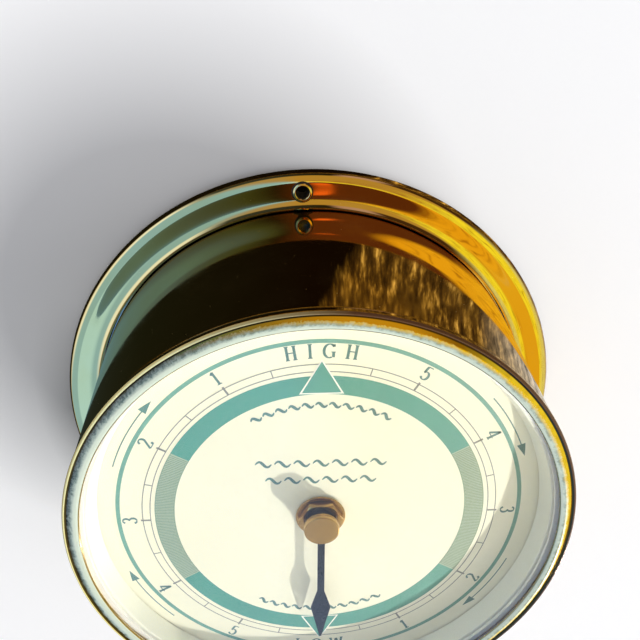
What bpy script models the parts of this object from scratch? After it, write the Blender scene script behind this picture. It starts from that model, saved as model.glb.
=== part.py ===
"""Brass wall tide clock: a spun drum case on a moulded wall flange, a screw-on bezel with its glass,
a printed dial, one tide hand, and the quartz movement that drives it, with its whole wheel train.

Frame: the origin is the centre of the flange's flat back, which lies on the wall. +Z is up, the dial
faces -Y, and +X is to the right of someone reading the dial. Turned pieces are drawn as profiles of
(radius, reach), where reach is the distance in front of the wall.
"""
import math

import bmesh
import bpy

MM = 0.001
FIT = 0.3 * MM              # gap left between two pieces that seat on each other
ROUND = 64                  # sides of a large turned piece
SMALL_ROUND = ROUND * 3 // 8

# Case. The drum's radius and the dial's reach set the places of everything that fits them.
DRUM_RADIUS = 61.3 * MM
DRUM_WALL = 1.2 * MM
CHAMBER_DEPTH = 7.0 * MM    # from the dial's face to the drum's front edge
FLANGE_WIDTH = 9.15 * MM
FLANGE_LAND = 4.55 * MM     # thickness where the screws pass
EDGE_ROUND = 1.6 * MM       # radius of the round edge
EDGE_MIDDLE = 2.3 * MM      # reach of the widest place
EDGE_UNDERCUT = 0.9 * MM
BEVEL_WIDTH = 2.7 * MM      # from the widest place in to the land
COVE_RISE = 0.8 * MM        # from the land up to the fillet
COVE_POWER = 3.2            # how late the cove turns up
COVE_STEPS = 6
FLANGE_FILLET = 0.7 * MM    # against the drum
SCREW_INSET = 2.25 * MM     # from the bevel in to the screws
SCREW_BORE = 1.85 * MM
SCREW_HEAD = 2.85 * MM
SCREW_COUNT = 3
SCREW_CLOCKING = math.radians(-2.1)     # the flange sits turned a little against the dial

# Dial stack
DIAL_REACH = 53.0 * MM      # printed face
DIAL_THICK = 0.8 * MM
DIAL_EDGE_GAP = 0.7 * MM
DIAL_HOLE = 4.2 * MM
SEAT_THICK = 2.0 * MM
SEAT_WIDTH = 4.0 * MM
REFLECTOR_WIDTH = 4.7 * MM  # from the dial's edge in to the reflector's foot
REFLECTOR_FLARE = 1.55 * MM
REFLECTOR_WALL = 0.5 * MM

# Bezel and glass
BEZEL_OVERHANG = 0.25 * MM  # past the drum's outside
BEZEL_LIP = 4.15 * MM       # width of its face
BEZEL_HEIGHT = 2.5 * MM     # in front of the drum's edge
BEZEL_RIM = 1.1 * MM        # width of the polished bead round its edge
RIM_DROP = 0.3 * MM         # top of that bead behind the front
CREASE_DEPTH = 0.7 * MM     # groove between that bead and the crowned band
CROWN_FALL = 0.42 * MM      # band's fall at the opening
CROWN_STEPS = 5
BEZEL_SKIRT_WALL = 1.2 * MM
SKIRT_CLEARANCE = 0.5 * MM  # between the skirt and the reflector's foot
LIP_THICK = 0.8 * MM
GLASS_THICK = 1.6 * MM
GASKET_THICK = 0.9 * MM
GASKET_WIDTH = 1.4 * MM

# Movement housing, which is as wide as the cell and the coil need
HOUSING_DEPTH = 15.5 * MM
HOUSING_WALL = 1.2 * MM
HOUSING_CORNER = 2.5 * MM
BATTERY_RADIUS = 7.25 * MM
BATTERY_LENGTH = 49.2 * MM
BATTERY_NUB = 1.3 * MM
BATTERY_NUB_RADIUS = 2.75 * MM
BATTERY_PLAY = 0.75 * MM
LEAF = 0.3 * MM
CONTACT_WIDTH = 7.0 * MM
CUSHION_THICK = 0.5 * MM
CUSHION_RADIUS = 12.0 * MM

# Centre stack in front of the dial
TUBE_RADIUS = 3.9 * MM
TUBE_BORE = 2.3 * MM
TUBE_RISE = 2.9 * MM        # in front of the dial
TUBE_COLLAR = 5.5 * MM
WASHER_RADIUS = 6.2 * MM
WASHER_THICK = 0.5 * MM
NUT_FLATS = 10.0 * MM
NUT_THICK = 1.7 * MM
PIPE_RADIUS = 1.9 * MM
PIPE_BORE = 1.2 * MM
HAND_LENGTH = 39.5 * MM
HAND_THICK = 0.4 * MM
HAND_HUB = 3.8 * MM
HAND_NECK = 0.9 * MM
HAND_BLADE = 2.6 * MM
HAND_LIFT = 1.0 * MM        # hand above the top of the threaded tube
BUSH_RADIUS = 2.7 * MM
CAP_RADIUS = 4.0 * MM
CAP_FOOT = 0.4 * MM         # step round the foot of the dome
CAP_RISE = 1.4 * MM
PIPE_STAND = 0.5 * MM       # pipe in front of the hand

# Wheel train
LAYER_PITCH = 1.9 * MM
WHEEL_THICK = 0.9 * MM
PINION_EXTRA = 0.25 * MM
ARBOR_RADIUS = 0.4 * MM
CLUTCH_ARBOR = 0.5 * MM
SETTING_STEM = 1.0 * MM
SLIP_FIT = 0.1 * MM          # gap in a running bore
PUSH_FIT = 0.15 * MM         # gap round a piece pushed on the hand's pipe
HAND_MODULE = 0.3027 * MM
SETTING_MODULE = 0.2 * MM
TRAIN_MODULE = 0.15 * MM
ROTOR_MODULE = 0.16 * MM
TIDE_TEETH = 27
HAND_PINION_TEETH = 10
INTERMEDIATE_TEETH = 46
ARBOR_PINION_TEETH = 10
SETTING_TEETH = 20
CENTRE_TEETH = 64
THIRD_TEETH = 60
FOURTH_TEETH = 48
FIFTH_TEETH = 40
TRAIN_PINION_TEETH = 8
ADDENDUM = 0.7
DEDENDUM = 1.05
TOOTH_SHARE = 0.40          # a tooth's thickness at the pitch circle, of the pitch
FINE_DEDENDUM = 1.8

# Motor and electronics
MAGNET_RADIUS = 2.2 * MM
STATOR_HOLE = 2.65 * MM
STATOR_THICK = 0.8 * MM
STATOR_HALF_WIDTH = 3.1 * MM
STATOR_HALF_LENGTH = 11.0 * MM
COIL_OFFSET = 8.0 * MM
COIL_HALF_LENGTH = 7.5 * MM
CORE_HALF_WIDTH = 1.3 * MM
CORE_THICK = 1.0 * MM
BOARD_WIDTH = 10.0 * MM
BOBBIN_RADIUS = 4.0 * MM
WINDING_RADIUS = 3.6 * MM
KNOB_RADIUS = 6.0 * MM
KNOB_THICK = 3.5 * MM
KNOB_LOBES = 18


def polar(radius, angle):
    """A point in the dial's plane, the angle counted from +X towards +Z."""
    return (radius * math.cos(angle), radius * math.sin(angle))


def offset(centre, distance, degrees):
    dx, dz = polar(distance, math.radians(degrees))
    return (centre[0] + dx, centre[1] + dz)


# Arbor places in the dial's plane, each a mesh distance from the arbor that it works with
CENTRE = (0.0, 0.0)
INTERMEDIATE_AT = offset(CENTRE, SETTING_MODULE * (INTERMEDIATE_TEETH + ARBOR_PINION_TEETH) / 2, 150)
SETTING_AT = offset(INTERMEDIATE_AT, SETTING_MODULE * (INTERMEDIATE_TEETH + SETTING_TEETH) / 2, 150)
THIRD_AT = offset(CENTRE, TRAIN_MODULE * (CENTRE_TEETH + TRAIN_PINION_TEETH) / 2, 60)
FOURTH_AT = offset(THIRD_AT, TRAIN_MODULE * (THIRD_TEETH + TRAIN_PINION_TEETH) / 2, 20)
FIFTH_AT = offset(FOURTH_AT, TRAIN_MODULE * (FOURTH_TEETH + TRAIN_PINION_TEETH) / 2, 60)
ROTOR_AT = offset(FIFTH_AT, ROTOR_MODULE * (FIFTH_TEETH + TRAIN_PINION_TEETH) / 2, 0)
COIL_AT = (ROTOR_AT[0] + COIL_OFFSET, ROTOR_AT[1])


# Places that follow from the sizes above
DRUM_BORE = DRUM_RADIUS - DRUM_WALL
DRUM_REACH = DIAL_REACH + CHAMBER_DEPTH
FLANGE_BORE = DRUM_RADIUS + FIT
FLANGE_RADIUS = FLANGE_BORE + FLANGE_WIDTH
LAND_OUT = FLANGE_RADIUS - BEVEL_WIDTH
SCREW_CIRCLE = LAND_OUT - SCREW_INSET
DIAL_BACK = DIAL_REACH - DIAL_THICK
DIAL_RADIUS = DRUM_BORE - DIAL_EDGE_GAP
REFLECTOR_BACK = DIAL_REACH + FIT
REFLECTOR_FOOT = DIAL_RADIUS - REFLECTOR_WIDTH
SKIRT_OUTER = DRUM_BORE - FIT
SKIRT_INNER = SKIRT_OUTER - BEZEL_SKIRT_WALL
SKIRT_REACH = REFLECTOR_BACK + REFLECTOR_WALL + SKIRT_CLEARANCE
BEZEL_BACK = DRUM_REACH + FIT
BEZEL_FRONT = BEZEL_BACK + BEZEL_HEIGHT
BEZEL_RADIUS = DRUM_RADIUS + BEZEL_OVERHANG
BEZEL_OPENING = BEZEL_RADIUS - BEZEL_LIP
LIP_BACK = BEZEL_FRONT - LIP_THICK
GLASS_FRONT = LIP_BACK - FIT
GLASS_BACK = GLASS_FRONT - GLASS_THICK
GLASS_RADIUS = SKIRT_INNER - FIT
GASKET_FRONT = GLASS_BACK - FIT
GASKET_BACK = GASKET_FRONT - GASKET_THICK
HOUSING_FRONT = DIAL_BACK - 2 * FIT - CUSHION_THICK
HOUSING_BACK = HOUSING_FRONT - HOUSING_DEPTH
FLOOR = HOUSING_FRONT - HOUSING_WALL
COVER_INSIDE = HOUSING_BACK + HOUSING_WALL
BATTERY_BAY = 2 * (BATTERY_RADIUS + BATTERY_PLAY)
PLATE_INNER = max(BATTERY_LENGTH / 2 + BATTERY_NUB + LEAF + 2 * FIT, COIL_AT[0] + BOBBIN_RADIUS + FIT)
HOUSING_HALF = PLATE_INNER + HOUSING_WALL
BAY_TOP = BATTERY_BAY - PLATE_INNER
WORKS_BOTTOM = BAY_TOP + HOUSING_WALL
LAYER_FRONT = FLOOR - FIT
TUBE_TOP = DIAL_REACH + TUBE_RISE
HAND_BACK = TUBE_TOP + HAND_LIFT


def clear_scene():
    for thing in list(bpy.data.objects):
        bpy.data.objects.remove(thing, do_unlink=True)


def material(name, colour, metallic, roughness, alpha=1.0):
    found = bpy.data.materials.get(name)
    if found:
        return found
    made = bpy.data.materials.new(name)
    made.use_nodes = True
    shader = made.node_tree.nodes["Principled BSDF"]
    shader.inputs["Base Color"].default_value = (*colour, 1.0)
    shader.inputs["Metallic"].default_value = metallic
    shader.inputs["Roughness"].default_value = roughness
    shader.inputs["Alpha"].default_value = alpha
    made.diffuse_color = (*colour, alpha)
    return made


def lacquered_brass():
    return material("lacquered_brass", (0.80, 0.56, 0.20), 1.0, 0.12)


def turned_brass():
    return material("turned_brass", (0.78, 0.58, 0.24), 1.0, 0.25)


def satin_silver():
    return material("satin_silver", (0.86, 0.87, 0.84), 1.0, 0.35)


def cream_enamel():
    return material("cream_enamel", (0.95, 0.92, 0.78), 0.0, 0.35)


def clear_glass():
    return material("clear_glass", (0.95, 0.98, 0.97), 0.0, 0.02, 0.25)


def black_rubber():
    return material("black_rubber", (0.03, 0.03, 0.03), 0.0, 0.7)


def black_plastic():
    return material("black_plastic", (0.035, 0.035, 0.04), 0.0, 0.45)


def white_acetal():
    return material("white_acetal", (0.88, 0.87, 0.82), 0.0, 0.4)


def blued_steel():
    return material("blued_steel", (0.03, 0.035, 0.05), 0.6, 0.3)


def motor_iron():
    return material("motor_iron", (0.55, 0.56, 0.58), 1.0, 0.35)


def finish(bm, name, finish_material, at=CENTRE):
    """Turns a bmesh drawn around (0, 0) into a smooth-shaded object whose origin is on its own axis."""
    bmesh.ops.remove_doubles(bm, verts=bm.verts, dist=1e-7)
    bmesh.ops.recalc_face_normals(bm, faces=bm.faces)
    mesh = bpy.data.meshes.new(name)
    bm.to_mesh(mesh)
    bm.free()
    mesh.materials.append(finish_material)
    mesh.shade_smooth()
    mesh.set_sharp_from_angle(angle=math.radians(35))
    made = bpy.data.objects.new(name, mesh)
    made.location = (at[0], 0.0, at[1])
    bpy.context.scene.collection.objects.link(made)
    return made


def turned(name, profile, finish_material, at=CENTRE, sides=ROUND):
    """Spins a profile of (radius, reach) about an axis along Y. A profile that starts and ends on the
    axis is left open there; any other is closed into a ring."""
    bm = bmesh.new()
    points = [bm.verts.new((0.0, -reach, radius)) for radius, reach in profile]
    edges = [bm.edges.new(pair) for pair in zip(points, points[1:])]
    if profile[0][0] > 0 or profile[-1][0] > 0:
        edges.append(bm.edges.new((points[-1], points[0])))
    bmesh.ops.spin(
        bm, geom=points + edges, cent=(0, 0, 0), axis=(0, 1, 0), angle=2 * math.pi,
        steps=sides, use_merge=True,
    )
    return finish(bm, name, finish_material, at)


def disc_profile(radius, front, back, hole=0.0):
    if hole:
        return [(hole, back), (radius, back), (radius, front), (hole, front)]
    return [(0.0, back), (radius, back), (radius, front), (0.0, front)]


def prism(name, outline, front, back, finish_material, at=CENTRE):
    """Extrudes an outline of (x, z) points from one reach to another."""
    bm = bmesh.new()
    face = bm.faces.new([bm.verts.new((x, -back, z)) for x, z in outline])
    grown = bmesh.ops.extrude_face_region(bm, geom=[face])
    moved = [item for item in grown["geom"] if isinstance(item, bmesh.types.BMVert)]
    bmesh.ops.translate(bm, verts=moved, vec=(0.0, back - front, 0.0))
    return finish(bm, name, finish_material, at)


def rectangle(x0, x1, z0, z1):
    return [(x0, z0), (x1, z0), (x1, z1), (x0, z1)]


def rounded_rectangle(x0, x1, z0, z1, corner, steps=4):
    points = []
    corners = [(x1 - corner, z0 + corner, -90), (x1 - corner, z1 - corner, 0),
               (x0 + corner, z1 - corner, 90), (x0 + corner, z0 + corner, 180)]
    for cx, cz, start in corners:
        for k in range(steps + 1):
            dx, dz = polar(corner, math.radians(start + 90 * k / steps))
            points.append((cx + dx, cz + dz))
    return points


def combine(base, other, operation):
    """Applies an exact boolean of two objects to the first one and removes the second."""
    tool = base.modifiers.new("combine", "BOOLEAN")
    tool.operation = operation
    tool.solver = "EXACT"
    tool.object = other
    bpy.context.view_layer.update()
    done = bpy.data.meshes.new_from_object(base.evaluated_get(bpy.context.evaluated_depsgraph_get()))
    base.modifiers.clear()
    old = base.data
    base.data = done
    done.name = base.name
    bpy.data.meshes.remove(old)
    bpy.data.objects.remove(other, do_unlink=True)
    base.data.shade_smooth()
    base.data.set_sharp_from_angle(angle=math.radians(35))
    return base


def cut(base, *cutters):
    for cutter in cutters:
        combine(base, cutter, "DIFFERENCE")
    return base


def join(base, *others):
    for other in others:
        combine(base, other, "UNION")
    return base


def case_drum():
    edge = DRUM_WALL / 3
    profile = [(DRUM_BORE, FIT), (DRUM_RADIUS, FIT), (DRUM_RADIUS, DRUM_REACH - edge),
               (DRUM_RADIUS - edge, DRUM_REACH), (DRUM_BORE, DRUM_REACH)]
    turned("case_drum", profile, lacquered_brass())


def flange_profile():
    """Flat back, round edge, a bevel up to the land, a cove that sweeps up, and a fillet at the drum."""
    profile = [(FLANGE_BORE, 0.0), (FLANGE_RADIUS - EDGE_UNDERCUT, 0.0)]
    for degrees in (-45, 0, 30, 60):
        dr, rise = polar(EDGE_ROUND, math.radians(degrees))
        profile.append((FLANGE_RADIUS - EDGE_ROUND + dr, EDGE_MIDDLE + rise))
    fillet_foot = FLANGE_BORE + FLANGE_FILLET
    for k in range(COVE_STEPS + 1):
        share = k / COVE_STEPS
        radius = LAND_OUT + (fillet_foot - LAND_OUT) * share
        profile.append((radius, FLANGE_LAND + COVE_RISE * share ** COVE_POWER))
    top = FLANGE_LAND + COVE_RISE + FLANGE_FILLET
    profile += [(FLANGE_BORE + FLANGE_FILLET * 0.45, top - FLANGE_FILLET * 0.6),
                (FLANGE_BORE + FLANGE_FILLET * 0.2, top), (FLANGE_BORE, top)]
    return profile


def mounting_flange():
    flange = turned("mounting_flange", flange_profile(), lacquered_brass())
    top = FLANGE_LAND + COVE_RISE + FLANGE_FILLET + 1.0 * MM
    shank = FLANGE_LAND - (SCREW_HEAD - SCREW_BORE)
    profile = [(0.0, -1.0 * MM), (SCREW_BORE, -1.0 * MM), (SCREW_BORE, shank), (SCREW_HEAD, FLANGE_LAND),
               (SCREW_HEAD, top), (0.0, top)]
    for k in range(SCREW_COUNT):
        angle = math.radians(90) - SCREW_CLOCKING + 2 * math.pi * k / SCREW_COUNT
        at = polar(SCREW_CIRCLE, angle)
        cut(flange, turned("screw_cutter", profile, lacquered_brass(), at, SMALL_ROUND))


def dial_seat_ring():
    front = DIAL_BACK - FIT
    profile = disc_profile(DRUM_BORE - FIT, front, front - SEAT_THICK, DRUM_BORE - FIT - SEAT_WIDTH)
    turned("dial_seat_ring", profile, turned_brass())


def dial_plate():
    dial = turned("dial_plate", disc_profile(DIAL_RADIUS, DIAL_REACH, DIAL_BACK), cream_enamel())
    cut(dial, turned("hole_cutter", disc_profile(DIAL_HOLE, DIAL_REACH + MM, DIAL_BACK - MM),
                     cream_enamel(), CENTRE, SMALL_ROUND))


def reflector_ring():
    foot = REFLECTOR_BACK
    rise = GASKET_BACK - FIT
    wall = REFLECTOR_WALL
    edge = DIAL_RADIUS - 0.1 * MM
    top = REFLECTOR_FOOT + REFLECTOR_FLARE
    profile = [(REFLECTOR_FOOT, foot), (edge, foot), (edge, foot + wall),
               (REFLECTOR_FOOT + 2 * wall, foot + wall), (top + wall, rise), (top, rise)]
    turned("reflector_ring", profile, satin_silver())


def bezel():
    """Polished bead round the edge, a crease, a crowned band up to the glass, and a skirt into the drum."""
    front = BEZEL_FRONT
    crease = BEZEL_RADIUS - BEZEL_RIM
    profile = [(SKIRT_INNER, SKIRT_REACH), (SKIRT_OUTER, SKIRT_REACH), (SKIRT_OUTER, BEZEL_BACK),
               (BEZEL_RADIUS - 0.1 * MM, BEZEL_BACK), (BEZEL_RADIUS, front - RIM_DROP - BEZEL_RIM * 0.7),
               (BEZEL_RADIUS - BEZEL_RIM / 3, front - RIM_DROP)]
    for k in range(CROWN_STEPS + 1):
        share = k / CROWN_STEPS
        fall = CREASE_DEPTH if share < 0.5 else CROWN_FALL
        radius = crease + (BEZEL_OPENING - crease) * share
        profile.append((radius, front - fall * (2 * share - 1) ** 4))
    profile += [(BEZEL_OPENING, LIP_BACK), (SKIRT_INNER, LIP_BACK)]
    turned("bezel", profile, lacquered_brass())


def glass():
    turned("glass", disc_profile(GLASS_RADIUS, GLASS_FRONT, GLASS_BACK), clear_glass())


def glass_gasket():
    profile = disc_profile(GLASS_RADIUS, GASKET_FRONT, GASKET_BACK, GLASS_RADIUS - GASKET_WIDTH)
    turned("glass_gasket", profile, white_acetal())


def movement_housing():
    half = HOUSING_HALF
    shell = prism("movement_housing", rounded_rectangle(-half, half, -half, half, HOUSING_CORNER),
                  HOUSING_FRONT, HOUSING_BACK, black_plastic())
    clear = 1.0 * MM
    works = prism("works_cutter", rectangle(-PLATE_INNER, PLATE_INNER, WORKS_BOTTOM, PLATE_INNER),
                  FLOOR, HOUSING_BACK - clear, black_plastic())
    bay = prism("bay_cutter", rectangle(-PLATE_INNER, PLATE_INNER, -PLATE_INNER, BAY_TOP),
                FLOOR, HOUSING_BACK - clear, black_plastic())
    step = prism("step_cutter", rectangle(-half - clear, half + clear, BAY_TOP + FIT, half + clear),
                 COVER_INSIDE + FIT, HOUSING_BACK - clear, black_plastic())
    bore = turned("bore_cutter", disc_profile(TUBE_RADIUS + FIT, HOUSING_FRONT + clear, FLOOR - clear),
                  black_plastic(), CENTRE, SMALL_ROUND)
    cut(shell, works, bay, step, bore)


def movement_cover():
    half = HOUSING_HALF
    cover = prism("movement_cover", rounded_rectangle(-half, half, BAY_TOP + 2 * FIT, half, HOUSING_CORNER),
                  COVER_INSIDE, HOUSING_BACK, black_plastic())
    stem = turned("stem_cutter", disc_profile(SETTING_STEM + FIT, COVER_INSIDE + MM, HOUSING_BACK - MM),
                  black_plastic(), SETTING_AT, SMALL_ROUND)
    cut(cover, stem)


def threaded_tube():
    collar_back = HOUSING_FRONT + FIT
    collar_front = DIAL_BACK - FIT
    profile = [(TUBE_BORE, FLOOR), (TUBE_RADIUS, FLOOR), (TUBE_RADIUS, collar_back),
               (TUBE_COLLAR, collar_back), (TUBE_COLLAR, collar_front), (TUBE_RADIUS, collar_front),
               (TUBE_RADIUS, TUBE_TOP), (TUBE_BORE, TUBE_TOP)]
    turned("threaded_tube", profile, turned_brass(), CENTRE, SMALL_ROUND)


def dial_cushion():
    front = DIAL_BACK - FIT
    turned("dial_cushion", disc_profile(CUSHION_RADIUS, front, HOUSING_FRONT + FIT, TUBE_COLLAR + FIT),
           black_rubber(), CENTRE, SMALL_ROUND)


def dial_washer():
    back = DIAL_REACH + FIT
    turned("dial_washer", disc_profile(WASHER_RADIUS, back + WASHER_THICK, back, TUBE_RADIUS + FIT),
           turned_brass(), CENTRE, SMALL_ROUND)


def fixing_nut():
    back = DIAL_REACH + 2 * FIT + WASHER_THICK
    corner = NUT_FLATS / 2 / math.cos(math.radians(30))
    outline = [polar(corner, math.radians(60 * k)) for k in range(6)]
    nut = prism("fixing_nut", outline, back + NUT_THICK, back, turned_brass())
    hole = turned("nut_cutter", disc_profile(TUBE_RADIUS + FIT, back + 2 * NUT_THICK, back - NUT_THICK),
                  turned_brass(), CENTRE, SMALL_ROUND)
    cut(nut, hole)


def gear_outline(teeth, module, tooth_at, fine):
    """Points round a spur gear. Pinions and the hand's own wheels get four points a tooth, and fine
    wheels three, with a deeper root that comes to a vee."""
    pitch = module * teeth / 2
    tip = pitch + ADDENDUM * module
    half = math.pi / teeth
    slope = 0.21
    root = pitch - (FINE_DEDENDUM if fine else DEDENDUM) * module
    tip_half = half * (0.12 if fine else TOOTH_SHARE - slope * ADDENDUM)
    root_half = half * (TOOTH_SHARE + slope * DEDENDUM)
    points = []
    for k in range(teeth):
        middle = tooth_at + 2 * half * k
        points.append(polar(tip, middle - tip_half))
        points.append(polar(tip, middle + tip_half))
        if fine:
            points.append(polar(root, middle + half))
        else:
            points.append(polar(root, middle + root_half))
            points.append(polar(root, middle + 2 * half - root_half))
    return points


def tooth_in_gap(line, teeth, tooth_at, other_teeth):
    """Where the other gear's tooth goes so that it meshes: line is the angle from the first gear's
    centre to the other's, and tooth_at is a tooth of the first gear."""
    return line + math.pi - (math.pi + teeth * (tooth_at - line)) / other_teeth


def line_between(start, end):
    return math.atan2(end[1] - start[1], end[0] - start[0])


def layer(number):
    """Front and back reach of a wheel's layer, layer 1 being next to the dial."""
    front = LAYER_FRONT - LAYER_PITCH * (number - 1)
    return front, front - WHEEL_THICK


def wheel(name, teeth, module, tooth_at, number, at, colour, fine=True):
    front, back = layer(number)
    return prism(name, gear_outline(teeth, module, tooth_at, fine), front, back, colour, at)


def pinion(teeth, module, tooth_at, number, at, colour):
    front, back = layer(number)
    return prism("pinion_part", gear_outline(teeth, module, tooth_at, False),
                 front + PINION_EXTRA, back - PINION_EXTRA, colour, at)


def arbor(at, front, back, colour, radius=ARBOR_RADIUS, sides=8):
    return turned("arbor_part", disc_profile(radius, front, back), colour, at, sides)


def full_arbor(at, colour):
    return arbor(at, LAYER_FRONT, COVER_INSIDE + FIT, colour)


def tide_wheel():
    """The wheel that carries the hand on its long pipe, once round in 12.42 turns of the centre arbor."""
    line = line_between(INTERMEDIATE_AT, CENTRE)
    tooth = tooth_in_gap(line, HAND_PINION_TEETH, line, TIDE_TEETH)
    made = wheel("tide_wheel", TIDE_TEETH, HAND_MODULE, tooth, 1, CENTRE, white_acetal(), False)
    pipe_front = HAND_BACK + HAND_THICK + PIPE_STAND
    pipe = turned("pipe_part", disc_profile(PIPE_RADIUS, pipe_front, layer(1)[0] - 0.1 * MM),
                  white_acetal(), CENTRE, 16)
    join(made, pipe)
    bore = turned("pipe_cutter", disc_profile(PIPE_BORE, HAND_BACK + 3 * MM, layer(1)[1] - MM),
                  white_acetal(), CENTRE, 16)
    cut(made, bore)


def intermediate_wheel():
    line = line_between(CENTRE, INTERMEDIATE_AT)
    tooth = tooth_in_gap(line, ARBOR_PINION_TEETH, line, INTERMEDIATE_TEETH)
    back_line = line_between(INTERMEDIATE_AT, CENTRE)
    made = wheel("intermediate_wheel", INTERMEDIATE_TEETH, SETTING_MODULE, tooth, 2, INTERMEDIATE_AT,
                 white_acetal())
    leaves = prism("pinion_part", gear_outline(HAND_PINION_TEETH, HAND_MODULE, back_line, False),
                   LAYER_FRONT, layer(2)[0] - 0.1 * MM, white_acetal(), INTERMEDIATE_AT)
    stem = arbor(INTERMEDIATE_AT, layer(2)[1] + 0.1 * MM, COVER_INSIDE + FIT, white_acetal(), CLUTCH_ARBOR)
    join(made, leaves, stem)


def centre_arbor():
    """Arbor with the slip clutch: its pinion drives the hand, and the centre wheel grips it by friction."""
    line = line_between(CENTRE, INTERMEDIATE_AT)
    made = pinion(ARBOR_PINION_TEETH, SETTING_MODULE, line, 2, CENTRE, turned_brass())
    made.name = "centre_arbor"
    join(made,
         arbor(CENTRE, HAND_BACK - 2 * MM, layer(2)[0], turned_brass(), PIPE_BORE - FIT, 12),
         arbor(CENTRE, layer(2)[1], COVER_INSIDE + FIT, turned_brass(), CLUTCH_ARBOR, 12))


def centre_wheel():
    line = line_between(THIRD_AT, CENTRE)
    tooth = tooth_in_gap(line, TRAIN_PINION_TEETH, line, CENTRE_TEETH)
    made = wheel("centre_wheel", CENTRE_TEETH, TRAIN_MODULE, tooth, 3, CENTRE, white_acetal())
    front, back = layer(3)
    cut(made, turned("bore_cutter", disc_profile(CLUTCH_ARBOR + SLIP_FIT, front + MM, back - MM),
                     white_acetal(), CENTRE, 12))


def clutch_spring():
    """Dished spring washer that presses the centre wheel on to its arbor."""
    front = layer(3)[1] - FIT / 2
    inner = CLUTCH_ARBOR + SLIP_FIT
    profile = [(inner, front - 0.75 * MM), (inner + 0.4 * MM, front - 0.75 * MM),
               (2.4 * MM, front - 0.2 * MM), (2.4 * MM, front), (2.1 * MM, front),
               (inner, front - 0.55 * MM)]
    turned("clutch_spring", profile, motor_iron(), CENTRE, 12)


def train_wheel(name, teeth, number, at, before, before_module, after):
    """A wheel of the train, driven by the pinion of the arbor before it, with its own pinion one layer
    nearer the dial for the wheel after it."""
    line = line_between(before, at)
    tooth = tooth_in_gap(line, TRAIN_PINION_TEETH, line, teeth)
    made = wheel(name, teeth, before_module, tooth, number, at, white_acetal())
    onward = line_between(at, after)
    join(made,
         pinion(TRAIN_PINION_TEETH, TRAIN_MODULE, onward, number - 1, at, white_acetal()),
         full_arbor(at, white_acetal()))


def rotor():
    line = line_between(ROTOR_AT, FIFTH_AT)
    made = pinion(TRAIN_PINION_TEETH, ROTOR_MODULE, line, 6, ROTOR_AT, white_acetal())
    made.name = "rotor_arbor"
    join(made, full_arbor(ROTOR_AT, white_acetal()))


def motor_levels():
    """Front and back reach of the stator plate, which lies round the magnet."""
    front = layer(4)[0] + 0.9 * MM
    return front, front - STATOR_THICK


def rotor_magnet():
    front, back = motor_levels()
    bore = ARBOR_RADIUS + SLIP_FIT
    turned("rotor_magnet", disc_profile(MAGNET_RADIUS, front + 0.7 * MM, back - 0.7 * MM, bore),
           motor_iron(), ROTOR_AT, 20)


def stator():
    front, back = motor_levels()
    x, z = ROTOR_AT
    end = COIL_AT[0] + CORE_HALF_WIDTH
    low = z - STATOR_HALF_LENGTH
    high = z + STATOR_HALF_LENGTH
    arm = 2.5 * MM
    left = x - STATOR_HALF_WIDTH
    right = x + STATOR_HALF_WIDTH
    outline = [(left, low), (end, low), (end, low + arm), (right, low + arm), (right, high - arm),
               (end, high - arm), (end, high), (left, high)]
    made = prism("stator", outline, front, back, motor_iron())
    cut(made, turned("stator_cutter", disc_profile(STATOR_HOLE, front + MM, back - MM),
                     motor_iron(), ROTOR_AT, 20))


def coil():
    """Laminated core bridging the stator's two arms, with its bobbin and winding."""
    x, z = COIL_AT
    core_front = motor_levels()[1] - FIT
    core_back = core_front - CORE_THICK
    half = STATOR_HALF_LENGTH
    strip = rectangle(x - CORE_HALF_WIDTH, x + CORE_HALF_WIDTH, z - half, z + half)
    prism("coil_core", strip, core_front, core_back, motor_iron())
    middle = (core_front + core_back) / 2
    tube = 2.3 * MM
    end = COIL_HALF_LENGTH
    inside = end - 0.7 * MM
    profile = [(0.0, -end), (BOBBIN_RADIUS, -end), (BOBBIN_RADIUS, -inside), (tube, -inside),
               (tube, inside), (BOBBIN_RADIUS, inside), (BOBBIN_RADIUS, end), (0.0, end)]
    bobbin = upright("coil_bobbin", profile, white_acetal(), (x, middle, z), 16)
    width = CORE_HALF_WIDTH + FIT
    slot = prism("slot_cutter", rectangle(x - width, x + width, z - half, z + half),
                 core_front + FIT, core_back - FIT, white_acetal())
    cut(bobbin, slot)
    wound = inside - 0.2 * MM
    profile = [(tube + 0.2 * MM, -wound), (WINDING_RADIUS, -wound), (WINDING_RADIUS, wound),
               (tube + 0.2 * MM, wound)]
    upright("coil_winding", profile, material("copper_wire", (0.62, 0.25, 0.10), 1.0, 0.35),
            (x, middle, z), 16)


def upright(name, profile, finish_material, middle, sides):
    """Spins a profile of (radius, height) about a vertical axis through (x, reach, z)."""
    x, reach, z = middle
    bm = bmesh.new()
    points = [bm.verts.new((radius, 0.0, height)) for radius, height in profile]
    edges = [bm.edges.new(pair) for pair in zip(points, points[1:])]
    if profile[0][0] > 0:
        edges.append(bm.edges.new((points[-1], points[0])))
    bmesh.ops.spin(bm, geom=points + edges, cent=(0, 0, 0), axis=(0, 0, 1), angle=2 * math.pi,
                   steps=sides, use_merge=True)
    made = finish(bm, name, finish_material)
    made.location = (x, -reach, z)
    return made


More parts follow.
